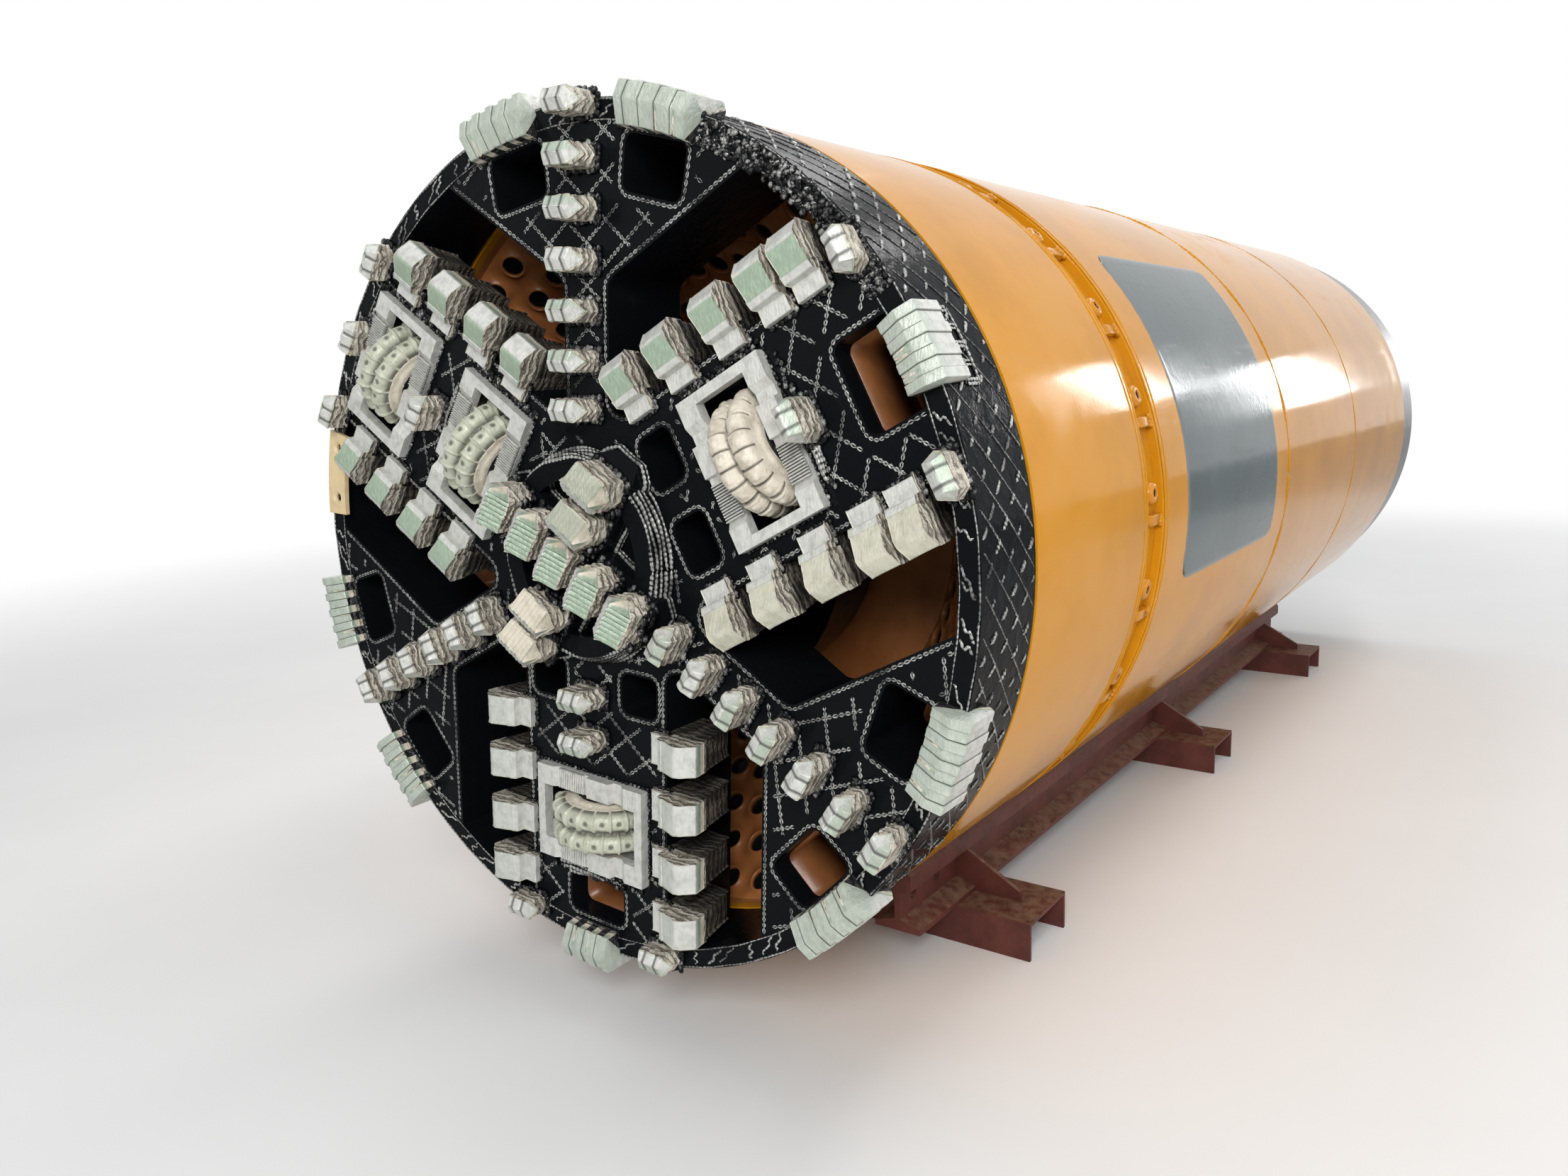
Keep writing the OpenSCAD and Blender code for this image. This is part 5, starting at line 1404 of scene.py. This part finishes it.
def deck_trim(coat, dark):
    """Cross bars on the walkway; saddles, straps and flanges of the slurry pipes."""
    low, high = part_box("walkway")
    bars = [block((x, low.y + 0.03, high.z - 0.001), (x + 0.010, high.y - 0.03, high.z + 0.004), 0.0015)
            for x in np.arange(low.x + 0.04, high.x - 0.03, 0.062)]
    strap = [(-0.022, 0.083), (-0.022, 0.090), (0.022, 0.090), (0.022, 0.083)]
    flange = [(-0.002, 0.083), (-0.002, 0.132), (0.014, 0.132), (0.016, 0.129), (0.016, 0.083)]
    back = (-1, 0, 0)
    fittings = []
    for name in ("feed_pipe", "discharge_pipe"):
        pipe_low, pipe_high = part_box(name)
        y, z, end = (pipe_low.y + pipe_high.y) / 2, (pipe_low.z + pipe_high.z) / 2, pipe_high.x
        for x in (-1.66, -0.80, -0.10):
            fittings.append(block((x - 0.020, y - 0.050, high.z - 0.001), (x + 0.020, y + 0.050, z - 0.078),
                                  0.003))
            fittings.append(turned(strap, (x, y, z), (1, 0, 0), 44, True))
        fittings.append(turned(flange, (end, y, z), back, 48, True))
        fittings += bolts((end - 0.016, y, z), back, 0.111, 8, 0.009)
    plain_piece("walkway_bars", bars, coat)
    plain_piece("pipe_fittings", fittings, dark)


def length(name, description, default):
    return bpy.props.FloatProperty(name=name, description=description, default=default, unit="LENGTH")


def angle_property(name, description, degrees):
    return bpy.props.FloatProperty(name=name, description=description, default=math.radians(degrees),
                                   unit="ROTATION")


class MachineSizes(bpy.types.PropertyGroup):
    """Sizes of the dressed pieces"""

    pick_width: length("Pick width", "Width of a pick along its arm", 0.040)
    pick_length: length("Pick length", "Length of a pick round the head", 0.082)
    pick_height: length("Pick height", "Height of a pick above the face", 0.078)
    ripper_width: length("Ripper width", "Width of a centre ripper", 0.064)
    ripper_length: length("Ripper length", "Length of a centre ripper", 0.100)
    scraper_width: length("Scraper width", "Width of a scraper along its arm", 0.060)
    scraper_reach: length("Scraper reach", "How far a scraper stands over the opening", 0.091)
    weld_radius: length("Weld radius", "Radius of a weld chain on the face", 0.0055)
    face_spacing: length("Face pattern", "Distance between the welds of the face's pattern", 0.059)
    rim_spacing: length("Rim pattern", "Distance between the welds of the rim's pattern", 0.066)
    button_count: bpy.props.IntProperty(name="Buttons", description="Buttons on each ring of a disc cutter",
                                        default=20)
    hole_rows: bpy.props.IntProperty(name="Hole rows", description="Rows of holes in the chamber's cone",
                                     default=5)
    hole_count: bpy.props.IntProperty(name="Holes in a row", description="Holes in each row of the cone",
                                      default=56)
    hole_radius: length("Hole radius", "Radius of a hole in the cone", 0.0225)
    boss_radius: length("Boss radius", "Radius of a boss in the joint", 0.024)
    lug_width: length("Lug width", "Width of a lug in the joint", 0.022)
    panel_front: length("Panel front", "How far behind the front edge of the shield the panel starts", 0.815)
    panel_rear: length("Panel rear", "How far behind the front edge of the shield the panel ends", 1.620)
    panel_low: angle_property("Panel bottom", "Lower edge of the panel, as an angle from level", -11)
    panel_high: angle_property("Panel top", "Upper edge of the panel, as an angle from level", 44)
    panel_corner: length("Panel corner", "Radius of the panel's corners", 0.055)
    floor_size: length("Floor", "Half the width of the studio floor", 30.0)


def colour_property(name, description, default):
    return bpy.props.FloatVectorProperty(name=name, description=description, default=default, size=3,
                                         subtype="COLOR", min=0.0, max=1.0)


class MachineColours(bpy.types.PropertyGroup):
    """Colours of the finishes, linear"""

    shield: colour_property("Shield", "Gloss paint of the cans", (0.61, 0.255, 0.008))
    joint: colour_property("Joint", "Paint in the steering joint", (0.56, 0.22, 0.008))
    bits: colour_property("Bits", "Silver paint of the bits", (0.62, 0.62, 0.58))
    hard_face: colour_property("Hard face", "Pale green of the bits' hard facing", (0.36, 0.455, 0.34))
    cream: colour_property("Cream", "Cream paint of the wear segment", (0.71, 0.545, 0.31))
    cradle: colour_property("Cradle", "Red-brown paint of the rails", (0.112, 0.030, 0.022))
    panel: colour_property("Panel", "Blue-grey film on the shield", (0.090, 0.118, 0.122))
    drive: colour_property("Drive", "Blue paint of the drive and the power unit", (0.035, 0.110, 0.230))
    pipe: colour_property("Pipes", "Grey paint of the slurry pipes", (0.22, 0.26, 0.29))
    deck: colour_property("Deck", "Dark grey of the walkway", (0.085, 0.088, 0.092))
    cabinet: colour_property("Cabinet", "Pale grey of the electric box", (0.50, 0.52, 0.49))
    floor: colour_property("Floor", "Pale studio floor", (0.80, 0.79, 0.77))
    dust: bpy.props.FloatProperty(name="Dust", description="How dusty and scuffed the cans are", default=0.8,
                                  min=0.0, max=1.0, subtype="FACTOR")


def bits_finish(scene):
    """The finish of the bits, made the first time it is asked for."""
    colours = scene.machine_colours
    return bpy.data.materials.get("hard_facing") or bit_silver(tuple(colours.bits), tuple(colours.hard_face))


class MACHINE_OT_shields(bpy.types.Operator):
    """Paints the cans and lays the seam welds between them"""

    bl_idname = "machine.shields"
    bl_label = "Shields"

    def execute(self, context):
        colours = context.scene.machine_colours
        gloss = shield_paint(tuple(colours.shield), colours.dust)
        paint(gloss, "front_shield", "middle_shield", "rear_shield", "tail_shield")
        paint(turned_steel(), "tail_ring")
        shield_welds(gloss, SEAM_RADIUS)
        return {"FINISHED"}


class MACHINE_OT_joint(bpy.types.Operator):
    """Paints the steering joint and builds its bosses and lugs"""

    bl_idname = "machine.joint"
    bl_label = "Steering joint"

    def execute(self, context):
        greasy = joint_paint(tuple(context.scene.machine_colours.joint))
        paint(greasy, "inner_ring")
        joint_set(greasy, context.scene.machine_sizes.boss_radius, context.scene.machine_sizes.lug_width)
        return {"FINISHED"}


class MACHINE_OT_panel(bpy.types.Operator):
    """Lays the blank film on the side of the shield"""

    bl_idname = "machine.panel"
    bl_label = "Side panel"

    def execute(self, context):
        sizes = context.scene.machine_sizes
        film = panel_film(tuple(context.scene.machine_colours.panel))
        panel(film, FRONT_HIGH.x - sizes.panel_front, FRONT_HIGH.x - sizes.panel_rear,
              sizes.panel_low, sizes.panel_high, sizes.panel_corner)
        return {"FINISHED"}


class MACHINE_OT_chamber(bpy.types.Operator):
    """Lines the crushing chamber with the perforated cone and paints what is behind it"""

    bl_idname = "machine.chamber"
    bl_label = "Crushing chamber"

    def execute(self, context):
        sizes = context.scene.machine_sizes
        primer = chamber_paint()
        chamber(primer, sizes.hole_rows, sizes.hole_count, sizes.hole_radius)
        paint(primer, "front_bulkhead")
        opening_liners(primer)
        return {"FINISHED"}


class MACHINE_OT_face(bpy.types.Operator):
    """Blackens the cutterhead and covers it with weld beads"""

    bl_idname = "machine.face"
    bl_label = "Cutterhead face"

    def execute(self, context):
        sizes = context.scene.machine_sizes
        arms = [stem + letter for stem in ("pick_arm_", "disc_arm_") for letter in "abc"]
        paint(black_gloss(), "head_face", "head_rim", "head_hub", "crusher", *arms)
        beads = bead_gloss()
        edge_welds(beads, sizes.weld_radius)
        diamond_welds(beads, sizes.weld_radius * 0.66, sizes.face_spacing)
        rim_welds(beads, sizes.weld_radius * 0.95, sizes.rim_spacing)
        hub_welds(beads, sizes.weld_radius)
        rim_facing(beads)
        foot_welds(beads)
        return {"FINISHED"}


class MACHINE_OT_picks(bpy.types.Operator):
    """Builds the picks on the arms and at the edge"""

    bl_idname = "machine.picks"
    bl_label = "Picks"

    def execute(self, context):
        sizes = context.scene.machine_sizes
        picks(bits_finish(context.scene), sizes.pick_width, sizes.pick_length, sizes.pick_height)
        return {"FINISHED"}


class MACHINE_OT_rippers(bpy.types.Operator):
    """Builds the ribbed rippers on the crossed beams"""

    bl_idname = "machine.rippers"
    bl_label = "Centre rippers"

    def execute(self, context):
        sizes = context.scene.machine_sizes
        rippers(bits_finish(context.scene), sizes.ripper_width, sizes.ripper_length)
        return {"FINISHED"}


class MACHINE_OT_scrapers(bpy.types.Operator):
    """Builds the scrapers along the openings and the toothed ones on the rim"""

    bl_idname = "machine.scrapers"
    bl_label = "Scrapers"

    def execute(self, context):
        sizes = context.scene.machine_sizes
        scrapers(bits_finish(context.scene), sizes.scraper_width, sizes.scraper_reach)
        gauge_set(bits_finish(context.scene))
        return {"FINISHED"}


class MACHINE_OT_discs(bpy.types.Operator):
    """Builds the buttoned rings of the disc cutters and finishes their frames"""

    bl_idname = "machine.discs"
    bl_label = "Disc cutters"

    def execute(self, context):
        metal, buttons = bits_finish(context.scene), context.scene.machine_sizes.button_count
        for letter in "abcd":
            disc_ring("disc_" + letter, "disc_cutter_" + letter, metal, buttons)
            paint(metal, "disc_frame_" + letter)
        frame_ribs(metal)
        return {"FINISHED"}


class MACHINE_OT_wear(bpy.types.Operator):
    """Paints the wear segment on the rim"""

    bl_idname = "machine.wear"
    bl_label = "Wear segment"

    def execute(self, context):
        paint(plain_paint("wear_cream", tuple(context.scene.machine_colours.cream), 0.6), "wear_segment")
        return {"FINISHED"}


class MACHINE_OT_inside(bpy.types.Operator):
    """Paints the drive, pipes, walkway and cabinets inside the shields and adds their trim"""

    bl_idname = "machine.inside"
    bl_label = "Inside works"

    def execute(self, context):
        colours = context.scene.machine_colours
        blue = plain_paint("drive_blue", tuple(colours.drive), 0.5)
        paint(blue, "main_drive", "hydraulic_unit")
        paint(plain_paint("pipe_grey", tuple(colours.pipe), 0.7), "feed_pipe", "discharge_pipe")
        deck = plain_paint("deck_grey", tuple(colours.deck), 0.9, 0.5)
        paint(deck, "walkway", "rear_partition")
        cabinet = plain_paint("cabinet_grey", tuple(colours.cabinet), 0.3)
        paint(cabinet, "electric_box")
        dark = plain_paint("fittings_zinc", (0.28, 0.28, 0.27), 0.4, 0.3)
        cabinet_trim(cabinet, dark)
        power_trim(blue, dark)
        deck_trim(deck, dark)
        return {"FINISHED"}


class MACHINE_OT_cradle(bpy.types.Operator):
    """Paints the rails and sleepers of the cradle"""

    bl_idname = "machine.cradle"
    bl_label = "Rail cradle"

    def execute(self, context):
        rusty = cradle_paint(tuple(context.scene.machine_colours.cradle))
        paint(rusty, "rail_left", "rail_right", "sleeper_front", "sleeper_middle", "sleeper_rear")
        return {"FINISHED"}


class MACHINE_OT_stage(bpy.types.Operator):
    """Sets the floor, the lamps, the white surroundings and the photograph's camera"""

    bl_idname = "machine.stage"
    bl_label = "Stage"

    def execute(self, context):
        scene = context.scene
        stage_floor(floor_paint(tuple(scene.machine_colours.floor)), scene.machine_sizes.floor_size)
        soft_light("overhead", (-0.6, 1.6, 5.0), (-0.2, 0.2, 0.9), 7.0, 0.5, 95)
        soft_light("overhead_far", (-0.6, -1.8, 5.2), (-0.2, 0.0, 0.9), 7.0, 1.2, 80)
        soft_light("face_key", (6.2, 3.0, 3.4), (1.9, 0.0, 0.9), 2.0, 2.0, 250)
        soft_light("window_near", (-6.0, 2.9, 2.9), (1.4, 0.7, 1.2), 0.5, 1.0, 22)
        soft_light("window_far", (-6.0, 1.9, 1.9), (1.4, 0.7, 1.0), 0.4, 0.8, 12)
        soft_light("side_fill", (1.5, 6.5, 2.2), (0.2, 0.0, 0.9), 6.0, 2.0, 60)
        soft_light("far_fill", (-1.5, -6.0, 3.0), (0.0, 0.0, 0.9), 5.0, 3.0, 60)
        world_light((0.80, 0.84, 0.90), 0.45)
        photo_camera((3.6931, 1.5908, 1.318), -2.517, -0.184, -0.033, 26.87)
        scene.view_settings.view_transform = "Standard"
        return {"FINISHED"}


class MACHINE_PT_panel(bpy.types.Panel):
    """Lists the pieces and their sizes and colours"""

    bl_label = "Boring machine"
    bl_idname = "MACHINE_PT_panel"
    bl_space_type = "VIEW_3D"
    bl_region_type = "UI"
    bl_category = "Boring machine"

    def draw(self, context):
        for operator in OPERATORS:
            self.layout.operator(operator.bl_idname)
        for group in (context.scene.machine_sizes, context.scene.machine_colours):
            box = self.layout.box()
            for name in group.bl_rna.properties.keys():
                if name not in ("rna_type", "name"):
                    box.prop(group, name)


OPERATORS = (MACHINE_OT_shields, MACHINE_OT_joint, MACHINE_OT_panel, MACHINE_OT_chamber, MACHINE_OT_face,
             MACHINE_OT_picks, MACHINE_OT_rippers, MACHINE_OT_scrapers, MACHINE_OT_discs, MACHINE_OT_wear,
             MACHINE_OT_inside, MACHINE_OT_cradle, MACHINE_OT_stage)
CLASSES = (MachineSizes, MachineColours, *OPERATORS, MACHINE_PT_panel)


def register():
    for kind in CLASSES:
        bpy.utils.register_class(kind)
    bpy.types.Scene.machine_sizes = bpy.props.PointerProperty(type=MachineSizes)
    bpy.types.Scene.machine_colours = bpy.props.PointerProperty(type=MachineColours)


def unregister():
    del bpy.types.Scene.machine_sizes
    del bpy.types.Scene.machine_colours
    for kind in reversed(CLASSES):
        bpy.utils.unregister_class(kind)


def main():
    """Makes every piece in order."""
    register()
    for operator in OPERATORS:
        getattr(bpy.ops.machine, operator.bl_idname.split(".")[1])()


if __name__ == "__main__":
    main()
